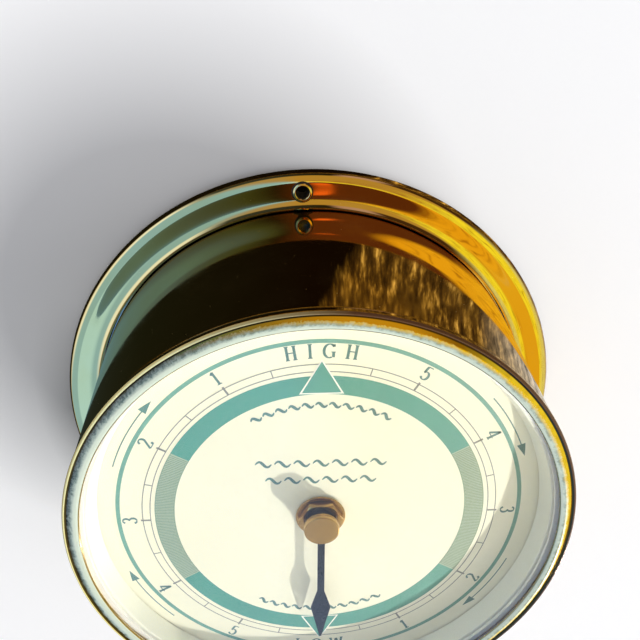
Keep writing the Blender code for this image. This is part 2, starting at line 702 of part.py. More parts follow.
def circuit_board():
    front = FLOOR - FIT
    back = front - 1.0 * MM
    left = -PLATE_INNER + 1.3 * MM
    board = rectangle(left, left + BOARD_WIDTH, WORKS_BOTTOM + 2.5 * MM, PLATE_INNER - 2.8 * MM)
    prism("circuit_board", board, front, back, material("board_laminate", (0.05, 0.22, 0.12), 0.0, 0.5))
    middle = left + BOARD_WIDTH / 2
    blob_front = back - FIT
    turned("chip_blob", [(0.0, blob_front - 1.1 * MM), (1.6 * MM, blob_front - 0.95 * MM),
                         (2.8 * MM, blob_front - 0.3 * MM), (2.9 * MM, blob_front), (0.0, blob_front)],
           black_plastic(), (middle, 4.0 * MM), 16)
    can = 1.0 * MM
    half = 3.0 * MM
    upright("quartz_crystal", [(0.0, -half), (can, -half), (can, half), (0.0, half)], motor_iron(),
            (middle, blob_front - can, 15.0 * MM), 12)


def battery_reach():
    return FLOOR - FIT - BATTERY_RADIUS


def battery():
    """One AA cell lying in the open bay, positive end to the right."""
    z = (BAY_TOP - PLATE_INNER) / 2
    half = BATTERY_LENGTH / 2
    profile = [(0.0, -half), (BATTERY_RADIUS - 0.5 * MM, -half), (BATTERY_RADIUS, 0.5 * MM - half),
               (BATTERY_RADIUS, half - 0.5 * MM), (BATTERY_RADIUS - 0.5 * MM, half),
               (BATTERY_NUB_RADIUS, half), (BATTERY_NUB_RADIUS, half + BATTERY_NUB),
               (0.0, half + BATTERY_NUB)]
    made = upright("battery_cell", profile, material("cell_jacket", (0.10, 0.11, 0.13), 0.6, 0.35),
                   (0.0, battery_reach(), z), 32)
    made.rotation_euler = (0.0, math.radians(90), 0.0)


def battery_contacts():
    """A plain leaf for the cell's nub, and a bent leaf whose tongue presses on its flat end."""
    z = (BAY_TOP - PLATE_INNER) / 2
    wall = PLATE_INNER - FIT
    high = FLOOR - 1.0 * MM
    low = battery_reach() - 5.0 * MM
    prism_across("positive_contact", [(wall, high), (wall, low), (wall - LEAF, low), (wall - LEAF, high)], z)
    tongue = BATTERY_LENGTH / 2 + FIT
    top = battery_reach() + 3.0 * MM
    bottom = battery_reach() - 3.0 * MM
    outline = [(-wall, high), (-wall, low), (-tongue, bottom), (-tongue, top), (-tongue - LEAF, top),
               (-tongue - LEAF, bottom + LEAF), (LEAF - wall, low + 2 * LEAF), (LEAF - wall, high)]
    prism_across("negative_contact", outline, z)


def prism_across(name, outline, z):
    """Extrudes an outline of (x, reach) points over the width of a contact, centred on z."""
    bm = bmesh.new()
    face = bm.faces.new([bm.verts.new((x, -reach, z - CONTACT_WIDTH / 2)) for x, reach in outline])
    grown = bmesh.ops.extrude_face_region(bm, geom=[face])
    moved = [item for item in grown["geom"] if isinstance(item, bmesh.types.BMVert)]
    bmesh.ops.translate(bm, verts=moved, vec=(0.0, 0.0, CONTACT_WIDTH))
    return finish(bm, name, motor_iron())


def setting_knob():
    """Ribbed thumb knob behind the cover, pressed on the setting arbor."""
    front = HOUSING_BACK - FIT
    back = front - KNOB_THICK
    outline = []
    for k in range(KNOB_LOBES * 2):
        radius = KNOB_RADIUS if k % 2 else KNOB_RADIUS - 0.5 * MM
        outline.append(polar(radius, math.pi * k / KNOB_LOBES))
    made = prism("setting_knob", outline, front, back, black_plastic(), SETTING_AT)
    cut(made, turned("knob_cutter", disc_profile(SETTING_STEM + SLIP_FIT, front + MM, back + 1.0 * MM),
                     black_plastic(), SETTING_AT, 12))


def setting_arbor():
    line = line_between(INTERMEDIATE_AT, SETTING_AT)
    first = line_between(CENTRE, INTERMEDIATE_AT)
    wheel_tooth = tooth_in_gap(first, ARBOR_PINION_TEETH, first, INTERMEDIATE_TEETH)
    tooth = tooth_in_gap(line, INTERMEDIATE_TEETH, wheel_tooth, SETTING_TEETH)
    made = pinion(SETTING_TEETH, SETTING_MODULE, tooth, 2, SETTING_AT, white_acetal())
    made.name = "setting_arbor"
    tail = HOUSING_BACK - KNOB_THICK + 1.0 * MM
    join(made,
         arbor(SETTING_AT, LAYER_FRONT, layer(2)[0], white_acetal(), SETTING_STEM, 12),
         arbor(SETTING_AT, layer(2)[1], tail, white_acetal(), SETTING_STEM, 12))


def tide_hand():
    """Lancet-shaped hand on a round hub, pointing straight down at rest."""
    outline = []
    neck = math.asin(HAND_NECK / HAND_HUB)
    for k in range(17):
        angle = math.radians(-90) + neck + (2 * math.pi - 2 * neck) * k / 16
        outline.append(polar(HAND_HUB, angle))
    widest = -HAND_LENGTH * 0.72
    outline += [(-HAND_NECK, widest + 6.0 * MM), (-HAND_BLADE, widest), (-0.25 * MM, -HAND_LENGTH),
                (0.25 * MM, -HAND_LENGTH), (HAND_BLADE, widest), (HAND_NECK, widest + 6.0 * MM)]
    made = prism("tide_hand", outline, HAND_BACK + HAND_THICK, HAND_BACK, blued_steel())
    hole = disc_profile(PIPE_RADIUS + PUSH_FIT, HAND_BACK + 2 * MM, HAND_BACK - 2 * MM)
    cut(made, turned("hand_cutter", hole, blued_steel(), CENTRE, 16))


def hand_bush():
    """Brass bush under the hand, a push fit on the pipe."""
    front = HAND_BACK - PUSH_FIT
    turned("hand_bush", disc_profile(BUSH_RADIUS, front, TUBE_TOP + FIT, PIPE_RADIUS + PUSH_FIT),
           turned_brass(), CENTRE, SMALL_ROUND)


def cap_nut():
    """Domed cap that closes the pipe and holds the hand down."""
    back = HAND_BACK + HAND_THICK + PUSH_FIT
    inside = PIPE_RADIUS + PUSH_FIT
    roof = HAND_BACK + HAND_THICK + PIPE_STAND + PUSH_FIT
    rim = back + CAP_FOOT
    profile = [(0.0, roof), (inside, roof), (inside, back), (CAP_RADIUS + CAP_FOOT, back),
               (CAP_RADIUS + CAP_FOOT, rim)]
    for k in range(4):
        angle = math.radians(90 * k / 4)
        profile.append((CAP_RADIUS * math.cos(angle), rim + CAP_RISE * math.sin(angle)))
    profile.append((0.0, rim + CAP_RISE))
    turned("cap_nut", profile, turned_brass(), CENTRE, SMALL_ROUND)


def build_case():
    case_drum()
    mounting_flange()
    dial_seat_ring()
    dial_plate()
    reflector_ring()
    bezel()
    glass()
    glass_gasket()


def build_movement():
    movement_housing()
    movement_cover()
    threaded_tube()
    dial_cushion()
    dial_washer()
    fixing_nut()
    tide_wheel()
    intermediate_wheel()
    centre_arbor()
    centre_wheel()
    clutch_spring()
    train_wheel("third_wheel", THIRD_TEETH, 4, THIRD_AT, FOURTH_AT, TRAIN_MODULE, CENTRE)
    train_wheel("fourth_wheel", FOURTH_TEETH, 5, FOURTH_AT, FIFTH_AT, TRAIN_MODULE, THIRD_AT)
    train_wheel("fifth_wheel", FIFTH_TEETH, 6, FIFTH_AT, ROTOR_AT, ROTOR_MODULE, FOURTH_AT)
    rotor()
    rotor_magnet()
    stator()
    coil()
    circuit_board()
    battery()
    battery_contacts()
    setting_arbor()
    setting_knob()


def build_hand():
    tide_hand()
    hand_bush()
    cap_nut()


clear_scene()
build_case()
build_movement()
build_hand()
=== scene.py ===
"""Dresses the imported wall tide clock: mirror-polished brass case, worn bezel, satin reflector ring,
printed dial, and the plastic movement that shows from behind.

Everything is in metres in the CAD's own frame. Turned pieces are profiles of (radius, reach), where
reach is the distance in front of the wall, so y is minus the reach. Angles on the dial are counted
clockwise from 12 o'clock. Radii of roundings are in millimetres.
"""
import math

import bmesh
import bpy
import numpy as np
from mathutils import Matrix, Vector


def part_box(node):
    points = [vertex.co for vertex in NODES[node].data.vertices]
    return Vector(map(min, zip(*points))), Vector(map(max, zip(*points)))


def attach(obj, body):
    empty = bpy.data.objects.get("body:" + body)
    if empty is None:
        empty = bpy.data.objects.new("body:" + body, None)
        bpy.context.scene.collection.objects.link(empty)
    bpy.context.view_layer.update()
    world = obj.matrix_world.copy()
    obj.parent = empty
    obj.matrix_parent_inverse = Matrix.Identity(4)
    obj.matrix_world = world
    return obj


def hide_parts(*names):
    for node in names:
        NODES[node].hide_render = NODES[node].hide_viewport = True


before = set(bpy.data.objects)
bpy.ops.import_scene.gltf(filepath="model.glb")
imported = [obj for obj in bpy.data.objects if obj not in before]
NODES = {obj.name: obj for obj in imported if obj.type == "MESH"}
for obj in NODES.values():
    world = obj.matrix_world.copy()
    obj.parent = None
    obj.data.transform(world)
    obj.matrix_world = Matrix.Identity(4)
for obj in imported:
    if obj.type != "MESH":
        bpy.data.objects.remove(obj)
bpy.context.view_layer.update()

MM = 0.001
FIT = 0.3 * MM                  # gap between pieces that slide into or over one another
TURNS = 320                     # sides of a large turned piece
TICK_RING = 43.0 * MM           # middle radius of the ring of hour ticks, the dial's unit of size
DRUM_WALL = 1.2 * MM
LAND_EDGE = 2.7 * MM            # width of the flange's flared edge, up to its ridge
BUSH_RADIUS = 3.9 * MM          # of the threaded tube

# Heights over the dial at which the layers of ink begin, from the lowest
TINT = 0.005 * MM
RINGS = 0.01 * MM
LETTERS = 0.012 * MM
HATCHING = 0.03 * MM
POINTERS = 0.055 * MM


def reaches(node):
    """Back and front of a CAD node, as distances in front of the wall."""
    low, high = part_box(node)
    return -high.y, -low.y


def outer_radius(node):
    low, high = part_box(node)
    return max(abs(low.x), abs(high.x))


def middle(node):
    low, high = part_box(node)
    return (low + high) / 2


FACE = reaches("dial_plate")[1]


# Mesh making

def rounded(corners, radii, steps=6, closed=True):
    """Profile through the corners, each rounded by an arc of its radius in mm. The arc runs between
    the two points where it touches the sides, and a point just beyond each keeps the flats flat."""
    beyond = 1.3                # how far the extra points lie from a corner, over its touching points
    corners = np.array(corners, float)
    count = len(corners)
    points = []
    for i, radius in enumerate(np.array(radii) * MM):
        here = corners[i]
        if not closed and i in (0, count - 1) or radius == 0:
            points.append(here[None])
            continue
        before = corners[i - 1] - here
        after = corners[(i + 1) % count] - here
        room = 0.48 * min(np.linalg.norm(before), np.linalg.norm(after))
        before /= np.linalg.norm(before)
        after /= np.linalg.norm(after)
        half = math.acos(np.clip(before @ after, -1, 1)) / 2
        touch = min(radius / math.tan(half), room / beyond)
        radius = touch * math.tan(half)
        centre = here + (before + after) / np.linalg.norm(before + after) * radius / math.sin(half)
        start = here + before * touch - centre
        end = here + after * touch - centre
        sweep = math.acos(np.clip(start @ end / radius ** 2, -1, 1))
        part = np.linspace(0, 1, steps + 1)[:, None]
        arc = (np.sin((1 - part) * sweep) * start + np.sin(part * sweep) * end) / math.sin(sweep)
        points.append((here + before * touch * beyond)[None])
        points.append(centre + arc)
        points.append((here + after * touch * beyond)[None])
    return np.concatenate(points)


def grid_faces(rows, columns, wrap_rows, wrap_columns):
    """Quads between neighbouring points of a grid, joined round where it wraps."""
    row = np.arange(rows if wrap_rows else rows - 1)[:, None]
    column = np.arange(columns if wrap_columns else columns - 1)[None]
    next_row = (row + 1) % rows
    next_column = (column + 1) % columns
    quads = np.stack(np.broadcast_arrays(
        row * columns + column, row * columns + next_column,
        next_row * columns + next_column, next_row * columns + column), -1)
    return quads.reshape(-1, 4)


def make_piece(name, points, faces, material, sharp=40):
    """Mesh object from arrays, with its doubles merged and its faces turned outwards."""
    mesh = bpy.data.meshes.new(name)
    mesh.from_pydata(points.reshape(-1, 3), [], faces if isinstance(faces, list) else faces.tolist())
    bm = bmesh.new()
    bm.from_mesh(mesh)
    bmesh.ops.remove_doubles(bm, verts=bm.verts, dist=1e-7)
    bmesh.ops.dissolve_degenerate(bm, edges=bm.edges, dist=1e-8)
    bmesh.ops.recalc_face_normals(bm, faces=bm.faces)
    bm.to_mesh(mesh)
    bm.free()
    mesh.materials.append(material)
    mesh.shade_smooth()
    mesh.set_sharp_from_angle(angle=math.radians(sharp))
    piece = bpy.data.objects.new(name, mesh)
    bpy.context.scene.collection.objects.link(piece)
    return piece


def on_circle(radius, angle):
    """x and z of points at clock angles in radians."""
    return np.stack([radius * np.sin(angle), radius * np.cos(angle)], -1)


def turned_points(profile, centre=(0.0, 0.0), sides=TURNS):
    """x = radius times sine, z = radius times cosine of the angle from 12 o'clock, y = minus reach."""
    angle = np.arange(sides) * 2 * np.pi / sides
    radius, reach = np.asarray(profile, float).T
    x = centre[0] + np.outer(np.sin(angle), radius)
    z = centre[1] + np.outer(np.cos(angle), radius)
    return np.stack([x, np.broadcast_to(-reach, x.shape), z], -1)


def turned(name, profile, material, centre=(0.0, 0.0), sides=TURNS, closed=True):
    points = turned_points(profile, centre, sides)
    return make_piece(name, points, grid_faces(sides, len(profile), True, closed), material)


def join_parts(parts):
    """Points and faces of several small meshes as one."""
    points = []
    faces = []
    start = 0
    for part_points, part_faces in parts:
        part_points = part_points.reshape(-1, 3)
        points.append(part_points)
        faces += [[corner + start for corner in face] for face in part_faces]
        start += len(part_points)
    return np.concatenate(points), faces


def cut_away(piece, cutters):
    """Takes the cutters out of a piece with exact booleans and removes them."""
    for cutter in cutters:
        tool = piece.modifiers.new("cut", "BOOLEAN")
        tool.solver = "EXACT"
        tool.object = cutter
        graph = bpy.context.evaluated_depsgraph_get()
        done = bpy.data.meshes.new_from_object(piece.evaluated_get(graph))
        piece.modifiers.clear()
        piece.data = done
        done.name = piece.name
        bpy.data.objects.remove(cutter, do_unlink=True)
    piece.data.shade_smooth()
    piece.data.set_sharp_from_angle(angle=math.radians(30))


# Print on the dial: every mark is a thin ribbon of ink laid on the dial's face

def ribbon(path, width, height, thick=0.02 * MM, closed=False):
    """A flat strip along a path of (x, z) points, width across, thick high, on the dial's face at
    height above it. Each station is four points: left and right, low and high."""
    path = np.asarray(path, float)
    width = np.broadcast_to(width, len(path))
    if closed:
        tangent = np.roll(path, -1, 0) - np.roll(path, 1, 0)
    else:
        tangent = np.gradient(path, axis=0)
    tangent /= np.maximum(np.linalg.norm(tangent, axis=1), 1e-12)[:, None]
    side = np.stack([-tangent[:, 1], tangent[:, 0]], -1) * width[:, None] / 2
    low = -(FACE + height)
    high = -(FACE + height + thick)
    left = path + side
    right = path - side
    stations = np.stack([
        np.insert(left, 1, low, 1), np.insert(left, 1, high, 1),
        np.insert(right, 1, high, 1), np.insert(right, 1, low, 1)], 1)
    faces = grid_faces(len(path), 4, closed, True).tolist()
    if not closed:
        last = 4 * (len(path) - 1)
        faces += [[0, 1, 2, 3], [last + 3, last + 2, last + 1, last]]
    return stations, faces


def round_path(radius, start, end, steps):
    """Points on a circle of the dial between two clock angles in degrees."""
    return on_circle(radius, np.radians(np.linspace(start, end, steps)))


def dial_circle(radius, width):
    path = on_circle(radius, np.linspace(0, 2 * np.pi, TURNS, endpoint=False))
    return ribbon(path, width, RINGS, closed=True)


def dial_band(inner, outer, start, end, height=RINGS):
    steps = max(int(abs(end - start)) + 1, 4)
    return ribbon(round_path((inner + outer) / 2, start, end, steps), outer - inner, height)


def spoke(angle, inner, outer, width, height=RINGS):
    direction = on_circle(1.0, math.radians(angle))
    return ribbon([direction * inner, direction * outer], width, height)


def printed(name, ribbons, ink):
    points, faces = join_parts(ribbons)
    piece = make_piece(name, points, faces, ink, 30)
    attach(piece, "case")


# Lettering, drawn with a broad pen: a stroke is widest where it runs up or down

# Each sign's width and strokes in a box one unit high. A stroke of four numbers is a line between two
# points. One of six is a bow: centre, half width and height, and clock angles in degrees. Two more
# numbers add a line from the bow's end.
SIGNS = {
    "1": (0.54, (0.27, 0, 0.27, 1), (0.27, 0.99, 0.1, 0.82), (0.1, 0.01, 0.44, 0.01)),
    "2": (0.58, (0.28, 0.73, 0.22, 0.26, -75, 105, 0.05, 0.04), (0.05, 0.03, 0.5, 0.03), (0.5, 0.02, 0.54, 0.2)),
    "3": (0.54, (0.26, 0.76, 0.19, 0.23, -70, 180), (0.26, 0.27, 0.23, 0.26, 0, 250)),
    "4": (0.62, (0.42, 1, 0.42, 0), (0.42, 0.98, 0.03, 0.3), (0.03, 0.3, 0.58, 0.3), (0.29, 0.01, 0.55, 0.01)),
    "5": (0.56, (0.15, 0.98, 0.5, 0.98), (0.15, 0.98, 0.12, 0.55), (0.26, 0.31, 0.24, 0.3, -50, 245)),
    "H": (0.84, (0.15, 0, 0.15, 1), (0.63, 0, 0.63, 1), (0.15, 0.52, 0.63, 0.52), (0.02, 0.01, 0.28, 0.01),
          (0.02, 0.99, 0.28, 0.99), (0.5, 0.01, 0.76, 0.01), (0.5, 0.99, 0.76, 0.99)),
    "I": (0.4, (0.17, 0, 0.17, 1), (0.03, 0.01, 0.31, 0.01), (0.03, 0.99, 0.31, 0.99)),
    "G": (0.84, (0.4, 0.5, 0.35, 0.49, 50, -205), (0.66, 0.05, 0.66, 0.42), (0.52, 0.42, 0.78, 0.42),
          (0.67, 0.8, 0.67, 0.98)),
    "L": (0.7, (0.16, 0, 0.16, 1), (0.03, 0.99, 0.3, 0.99), (0.03, 0.01, 0.6, 0.01), (0.6, 0.0, 0.64, 0.26)),
    "O": (0.84, (0.4, 0.5, 0.35, 0.49, 0, 360)),
    "W": (1.1, (0.1, 1, 0.32, 0), (0.32, 0, 0.54, 0.94), (0.54, 0.94, 0.76, 0), (0.76, 0, 0.97, 1),
          (0.0, 0.99, 0.22, 0.99), (0.86, 0.99, 1.08, 0.99))}


def stroke_path(stroke):
    """Points along a stroke of the table."""
    if len(stroke) == 4:
        return np.linspace(stroke[:2], stroke[2:], 5)
    x, z, half_width, half_height, start, end, *tail = stroke
    angle = np.radians(np.linspace(start, end, 18))
    path = np.stack([x + half_width * np.sin(angle), z + half_height * np.cos(angle)], -1)
    return np.concatenate([path, np.linspace(path[-1], tail, 5)]) if tail else path


def pen_strokes(text, radius, angle, thick, flip=False, gap=0.0):
    """Ribbons for a line of signs set on a circle of the dial and centred on an angle. Each sign
    stands on the circle with its head outwards, or inwards when flipped."""
    size = 0.082 * TICK_RING
    thin = 0.24 * MM
    widths = [(SIGNS[sign][0] + gap) * size for sign in text]
    along = -sum(widths) / 2
    ribbons = []
    for sign, width in zip(text, widths):
        shift = along + width / 2
        turn = math.radians(angle) + (-shift if flip else shift) / radius
        outward = on_circle(1.0, turn)
        base = outward * (radius + size if flip else radius)
        if flip:
            outward = -outward
        rightward = np.array([outward[1], -outward[0]])
        for stroke in SIGNS[sign][1:]:
            local = stroke_path(stroke) * size - np.array([(width - gap * size) / 2, 0])
            path = base + local[:, :1] * rightward + local[:, 1:] * outward
            step = np.gradient(local, axis=0)
            rise = np.abs(step[:, 1]) / np.maximum(np.linalg.norm(step, axis=1), 1e-9)
            ribbons.append(ribbon(path, thin + (thick - thin) * rise, LETTERS))
        along += width
    return ribbons


# Materials

def give(tree, socket, value):
    """Sets a socket to a number or a colour, or links another node's socket to it."""
    if isinstance(value, bpy.types.NodeSocket):
        tree.links.new(value, socket)
    else:
        socket.default_value = (*value, 1.0) if isinstance(value, tuple) else value


def feed(tree, node, **values):
    """Gives a node's sockets their values. Their names have spaces for underscores."""
    for name, value in values.items():
        give(tree, node.inputs[name.replace("_", " ")], value)


def new_node(tree, kind, **values):
    node = tree.nodes.new("ShaderNode" + kind)
    feed(tree, node, **values)
    return node


def material_with(name, colour, metallic, roughness, **values):
    """Principled material, its node tree and its shader."""
    made = bpy.data.materials.new(name)
    made.use_nodes = True
    tree = made.node_tree
    shader = tree.nodes["Principled BSDF"]
    feed(tree, shader, Base_Color=colour, Metallic=metallic, Roughness=roughness, **values)
    return made, tree, shader


def object_place(tree):
    return new_node(tree, "TexCoord").outputs["Object"]


def calculate(tree, operation, *values, clamp=False):
    node = new_node(tree, "Math")
    node.operation = operation
    node.use_clamp = clamp
    for socket, value in zip(node.inputs, values):
        give(tree, socket, value)
    return node.outputs[0]


def times(tree, first, second):
    return calculate(tree, "MULTIPLY", first, second)


def plus(tree, first, second):
    return calculate(tree, "ADD", first, second)


def dial_polar(tree):
    """Object coordinates as (angle round the dial, reach, radius), for marks that run round it."""
    apart = new_node(tree, "SeparateXYZ", Vector=object_place(tree))
    x, y, z = apart.outputs
    radius = calculate(tree, "SQRT", plus(tree, times(tree, x, x), times(tree, z, z)))
    return calculate(tree, "ARCTAN2", x, z), y, radius


def combined(tree, x, y, z):
    return new_node(tree, "CombineXYZ", X=x, Y=y, Z=z).outputs[0]


def noise(tree, vector, scale, detail=4.0, roughness=0.55):
    node = new_node(tree, "TexNoise", Vector=vector, Scale=scale, Detail=detail, Roughness=roughness)
    return node.outputs["Fac"]


def cells(tree, vector, scale):
    return new_node(tree, "TexVoronoi", Vector=vector, Scale=scale).outputs["Distance"]


def spread(tree, value, low, high, to_low=0.0, to_high=1.0):
    node = new_node(tree, "MapRange", Value=value, From_Min=low, From_Max=high, To_Min=to_low, To_Max=to_high)
    return node.outputs["Result"]


def between(tree, factor, first, second):
    """Mixes two colours, each a triple or a socket, by a factor socket."""
    node = new_node(tree, "Mix")
    node.data_type = "RGBA"
    feed(tree, node, Factor=factor)
    give(tree, node.inputs[6], first)
    give(tree, node.inputs[7], second)
    return node.outputs[2]


def shade_ramp(tree, value, stops):
    """Colours along a value from 0 to 1."""
    node = new_node(tree, "ValToRGB", Fac=value)
    ramp = node.color_ramp
    for k, (place, colour) in enumerate(stops):
        if k > 1:
            ramp.elements.new(place)
        ramp.elements[k].position = place
        ramp.elements[k].color = (*colour, 1.0)
    return node.outputs["Color"]


def mixed_shader(tree, factor, first, second):
    node = new_node(tree, "MixShader")
    for socket, value in zip(node.inputs, (factor, first.outputs[0], second.outputs[0])):
        give(tree, socket, value)
    return node


def relief(tree, shader, height, distance, strength):
    bump = new_node(tree, "Bump", Height=height, Distance=distance, Strength=strength)
    feed(tree, shader, Normal=bump.outputs["Normal"])


BRASS = (0.88, 0.64, 0.27)
DEEP_BRASS = (0.84, 0.56, 0.19)


def polished_brass():
    """Lacquered mirror brass: clouds of warmer lacquer, faint smudges and dust."""
    made, tree, shader = material_with("polished_brass", BRASS, 1.0, 0.06)
    place = object_place(tree)
    clouds = spread(tree, noise(tree, place, 28.0), 0.35, 0.7)
    smudges = spread(tree, noise(tree, place, 90.0, 6.0, 0.65), 0.45, 0.75, 0.035, 0.135)
    dust = spread(tree, cells(tree, place, 420.0), 0.0, 0.09, 0.35, 0.0)
    feed(tree, shader, Base_Color=between(tree, clouds, BRASS, DEEP_BRASS),
         Roughness=calculate(tree, "ADD", smudges, dust, clamp=True))
    return made


def plain_finish(name, colour, roughness, metallic=0.0, shift=0.12, **values):
    """Moulded or cast surface: a little colour drift, uneven gloss and fine grain."""
    made, tree, shader = material_with(name, colour, metallic, roughness, **values)
    place = object_place(tree)
    drift = spread(tree, noise(tree, place, 60.0), 0.3, 0.7)
    darker = tuple(c * (1 - shift) for c in colour)
    gloss = spread(tree, noise(tree, place, 240.0, 6.0), 0.3, 0.7, roughness * 0.8, min(roughness * 1.2, 1))
    feed(tree, shader, Base_Color=between(tree, drift, colour, darker), Roughness=gloss)
    relief(tree, shader, noise(tree, place, 1500.0, 2.0), 0.01 * MM, 0.6)
    return made


def brushed_metal(name, colour, roughness, rings=6.0):
    """Metal with fine lines round the dial's axis from the lathe, so many rings to a mm."""
    made, tree, shader = material_with(name, colour, 1.0, roughness)
    angle, reach, radius = dial_polar(tree)
    lines = noise(tree, combined(tree, times(tree, angle, 1.5), times(tree, reach, rings / MM),
                                 times(tree, radius, rings / MM)), 1.0, 3.0)
    feed(tree, shader, Roughness=spread(tree, lines, 0.3, 0.7, roughness * 0.7, roughness * 1.4))
    relief(tree, shader, lines, 0.004 * MM, 0.5)
    return made


def bezel_band_metal():
    """The bezel's bead and band by the distance in from the rim: polished bead, a crease painted dark
    as painted shade, old lacquer, an uneven border, speckled silver bare of lacquer towards the glass,
    and a thin line of brass at the opening. On the left the bare silver comes nearer the rim, the
    lacquer is painted near black and the bead pale gold, and on the right and top the bead is painted
    dark: painted reflections of other parts of the room."""
    made, tree, shader = material_with("bezel_band_metal", (0.80, 0.58, 0.20), 1.0, 0.1)
    angle, _, radius = dial_polar(tree)
    place = object_place(tree)
    mixed = plus(tree, noise(tree, place, 520.0, 3.0, 0.6), noise(tree, place, 1600.0, 3.0, 0.7))
    edge = calculate(tree, "SUBTRACT", outer_radius("bezel"), radius)
    wander = times(tree, calculate(tree, "SUBTRACT", mixed, 1.0), 0.9 * MM)
    # right runs from 0 on the left side to 1 on the right and top. It sets the painted reflections below.
    right = spread(tree, calculate(tree, "ABSOLUTE", plus(tree, angle, 1.5)), 0.9, 1.6)
    # Painted reflection: on the left the bare silver is moved up to 0.75 mm nearer the rim.
    nearer = spread(tree, right, 0.0, 1.0, 0.75 * MM, 0.0)
    rough_edge = plus(tree, plus(tree, edge, wander), nearer)

    # The lacquer's own amber on the right, painted near black on the left as a painted reflection.
    lacquer = between(tree, right, (0.06, 0.055, 0.025), (1.0, 0.62, 0.05))
    silver = between(tree, spread(tree, mixed, 0.85, 1.15), (0.15, 0.22, 0.17), (0.40, 0.48, 0.38))
    silver = between(tree, spread(tree, rough_edge, 2.7 * MM, 3.4 * MM), silver, (0.57, 0.64, 0.51))
    wear_and_painted_reflection = spread(tree, rough_edge, 1.9 * MM, 2.9 * MM)
    colour = between(tree, wear_and_painted_reflection, lacquer, silver)
    # Painted shade: the crease is painted dark.
    past_crease = spread(tree, edge, 1.1 * MM, 1.25 * MM)
    colour = between(tree, past_crease, (0.09, 0.055, 0.02), colour)
    past_bead = spread(tree, edge, 0.66 * MM, 0.74 * MM)
    # Painted reflection: the bead is painted pale gold on the left and dark on the right and top.
    bead = between(tree, right, (0.95, 0.82, 0.36), (0.12, 0.05, 0.02))
    colour = between(tree, past_bead, bead, colour)
    inner_line = spread(tree, edge, 3.8 * MM, 3.9 * MM)
    colour = between(tree, inner_line, colour, (0.42, 0.29, 0.12))

    dull = times(tree, wear_and_painted_reflection, calculate(tree, "SUBTRACT", 1.0, inner_line))
    dull = calculate(tree, "MAXIMUM", dull, spread(tree, past_bead, 0.0, 1.0, 0.2, 0.0))
    feed(tree, shader, Base_Color=colour, Metallic=spread(tree, dull, 0.02, 0.25, 1.0, 0.05),
         Roughness=spread(tree, dull, 0.0, 1.0, 0.08, 0.5))
    relief(tree, shader, mixed, 0.006 * MM, 0.5)
    return made


def satin_reflector_metal():
    """Satin silver lacquer over metal: near-white, with a faint sparkle."""
    made, tree, shader = material_with("satin_reflector_metal", (0.90, 0.90, 0.84), 0.05, 0.42)
    place = object_place(tree)
    grain = noise(tree, place, 2600.0, 3.0, 0.8)
    feed(tree, shader,
         Base_Color=between(tree, spread(tree, grain, 0.3, 0.7), (0.88, 0.88, 0.73), (0.93, 0.93, 0.80)),
         Roughness=spread(tree, noise(tree, place, 180.0), 0.3, 0.7, 0.32, 0.44))
    relief(tree, shader, grain, 0.01 * MM, 0.4)
    return made


def dial_enamel():
    """Cream printed dial: paper-fine mottling under a soft gloss."""
    made, tree, shader = material_with("dial_enamel", (0.93, 0.91, 0.74), 0.0, 0.42)
    place = object_place(tree)
    mottle = spread(tree, noise(tree, place, 500.0, 5.0, 0.7), 0.3, 0.7)
    clouds = spread(tree, noise(tree, place, 22.0), 0.35, 0.65)
    cream = between(tree, clouds, (0.93, 0.91, 0.70), (0.91, 0.88, 0.64))
    cream = between(tree, mottle, cream, (0.89, 0.87, 0.66))
    off_speck = spread(tree, cells(tree, place, 190.0), 0.012, 0.03)
    feed(tree, shader, Base_Color=between(tree, off_speck, (0.72, 0.68, 0.46), cream),
         Roughness=spread(tree, mottle, 0.0, 1.0, 0.36, 0.46))
    relief(tree, shader, noise(tree, place, 1800.0, 3.0), 0.006 * MM, 0.5)
    return made


def ink(name, colour, wear=0.12):
    """Screen-printed ink: slightly uneven cover with a fine grain."""
    made, tree, shader = material_with(name, colour, 0.0, 0.5)
    cover = spread(tree, noise(tree, object_place(tree), 1400.0, 4.0, 0.7), 0.35, 0.7)
    paler = tuple(c + (1 - c) * wear for c in colour)
    feed(tree, shader, Base_Color=between(tree, cover, colour, paler),
         Roughness=spread(tree, cover, 0.0, 1.0, 0.42, 0.58))
    return made


def window_glass():
    """Clear flat glass. Shadow rays pass it, so that the lamps reach the dial."""
    made, tree, shader = material_with(
        "window_glass", (1.0, 1.0, 1.0), 0.0, 0.0, Transmission_Weight=1.0, IOR=1.46)
    haze = noise(tree, object_place(tree), 45.0, 6.0)
    feed(tree, shader, Roughness=spread(tree, haze, 0.5, 0.8, 0.0, 0.02))
    rays = new_node(tree, "LightPath")
    mix = mixed_shader(tree, rays.outputs["Is Shadow Ray"], shader, new_node(tree, "BsdfTransparent"))
    feed(tree, tree.nodes["Material Output"], Surface=mix.outputs[0])
    return made


# Pieces

def make_drum(brass):
    back, front = reaches("case_drum")
    outside = outer_radius("case_drum")
    inside = outside - DRUM_WALL
    profile = rounded([(inside, back), (outside, back), (outside, front), (inside, front)],
                      (0.2, 0.2, 0.4, 0.2))
    stations = np.linspace(back + 3 * MM, front - 3 * MM, 12)
    first = np.flatnonzero(profile[:, 1] > (back + front) / 2)[0]
    profile = np.insert(profile, first, [(outside, reach) for reach in stations], 0)
    drum = turned("drum_shell", profile, brass)
    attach(drum, "case")
    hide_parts("case_drum")


def running_rise(along, places, angles):
    """Height gained along a line whose slope changes evenly between the angles given at the places."""
    steps = np.tan(np.radians(np.interp(along / MM, places, angles)))
    return np.concatenate([[0], np.cumsum((steps[1:] + steps[:-1]) / 2 * np.diff(along))])


def hole_places():
    """Centres of the flange's three screw holes, the first just left of 12 o'clock."""
    circle = outer_radius("mounting_flange") - LAND_EDGE - 2.25 * MM
    return [on_circle(circle, math.radians(-2.1 + 120 * k)) for k in range(3)]


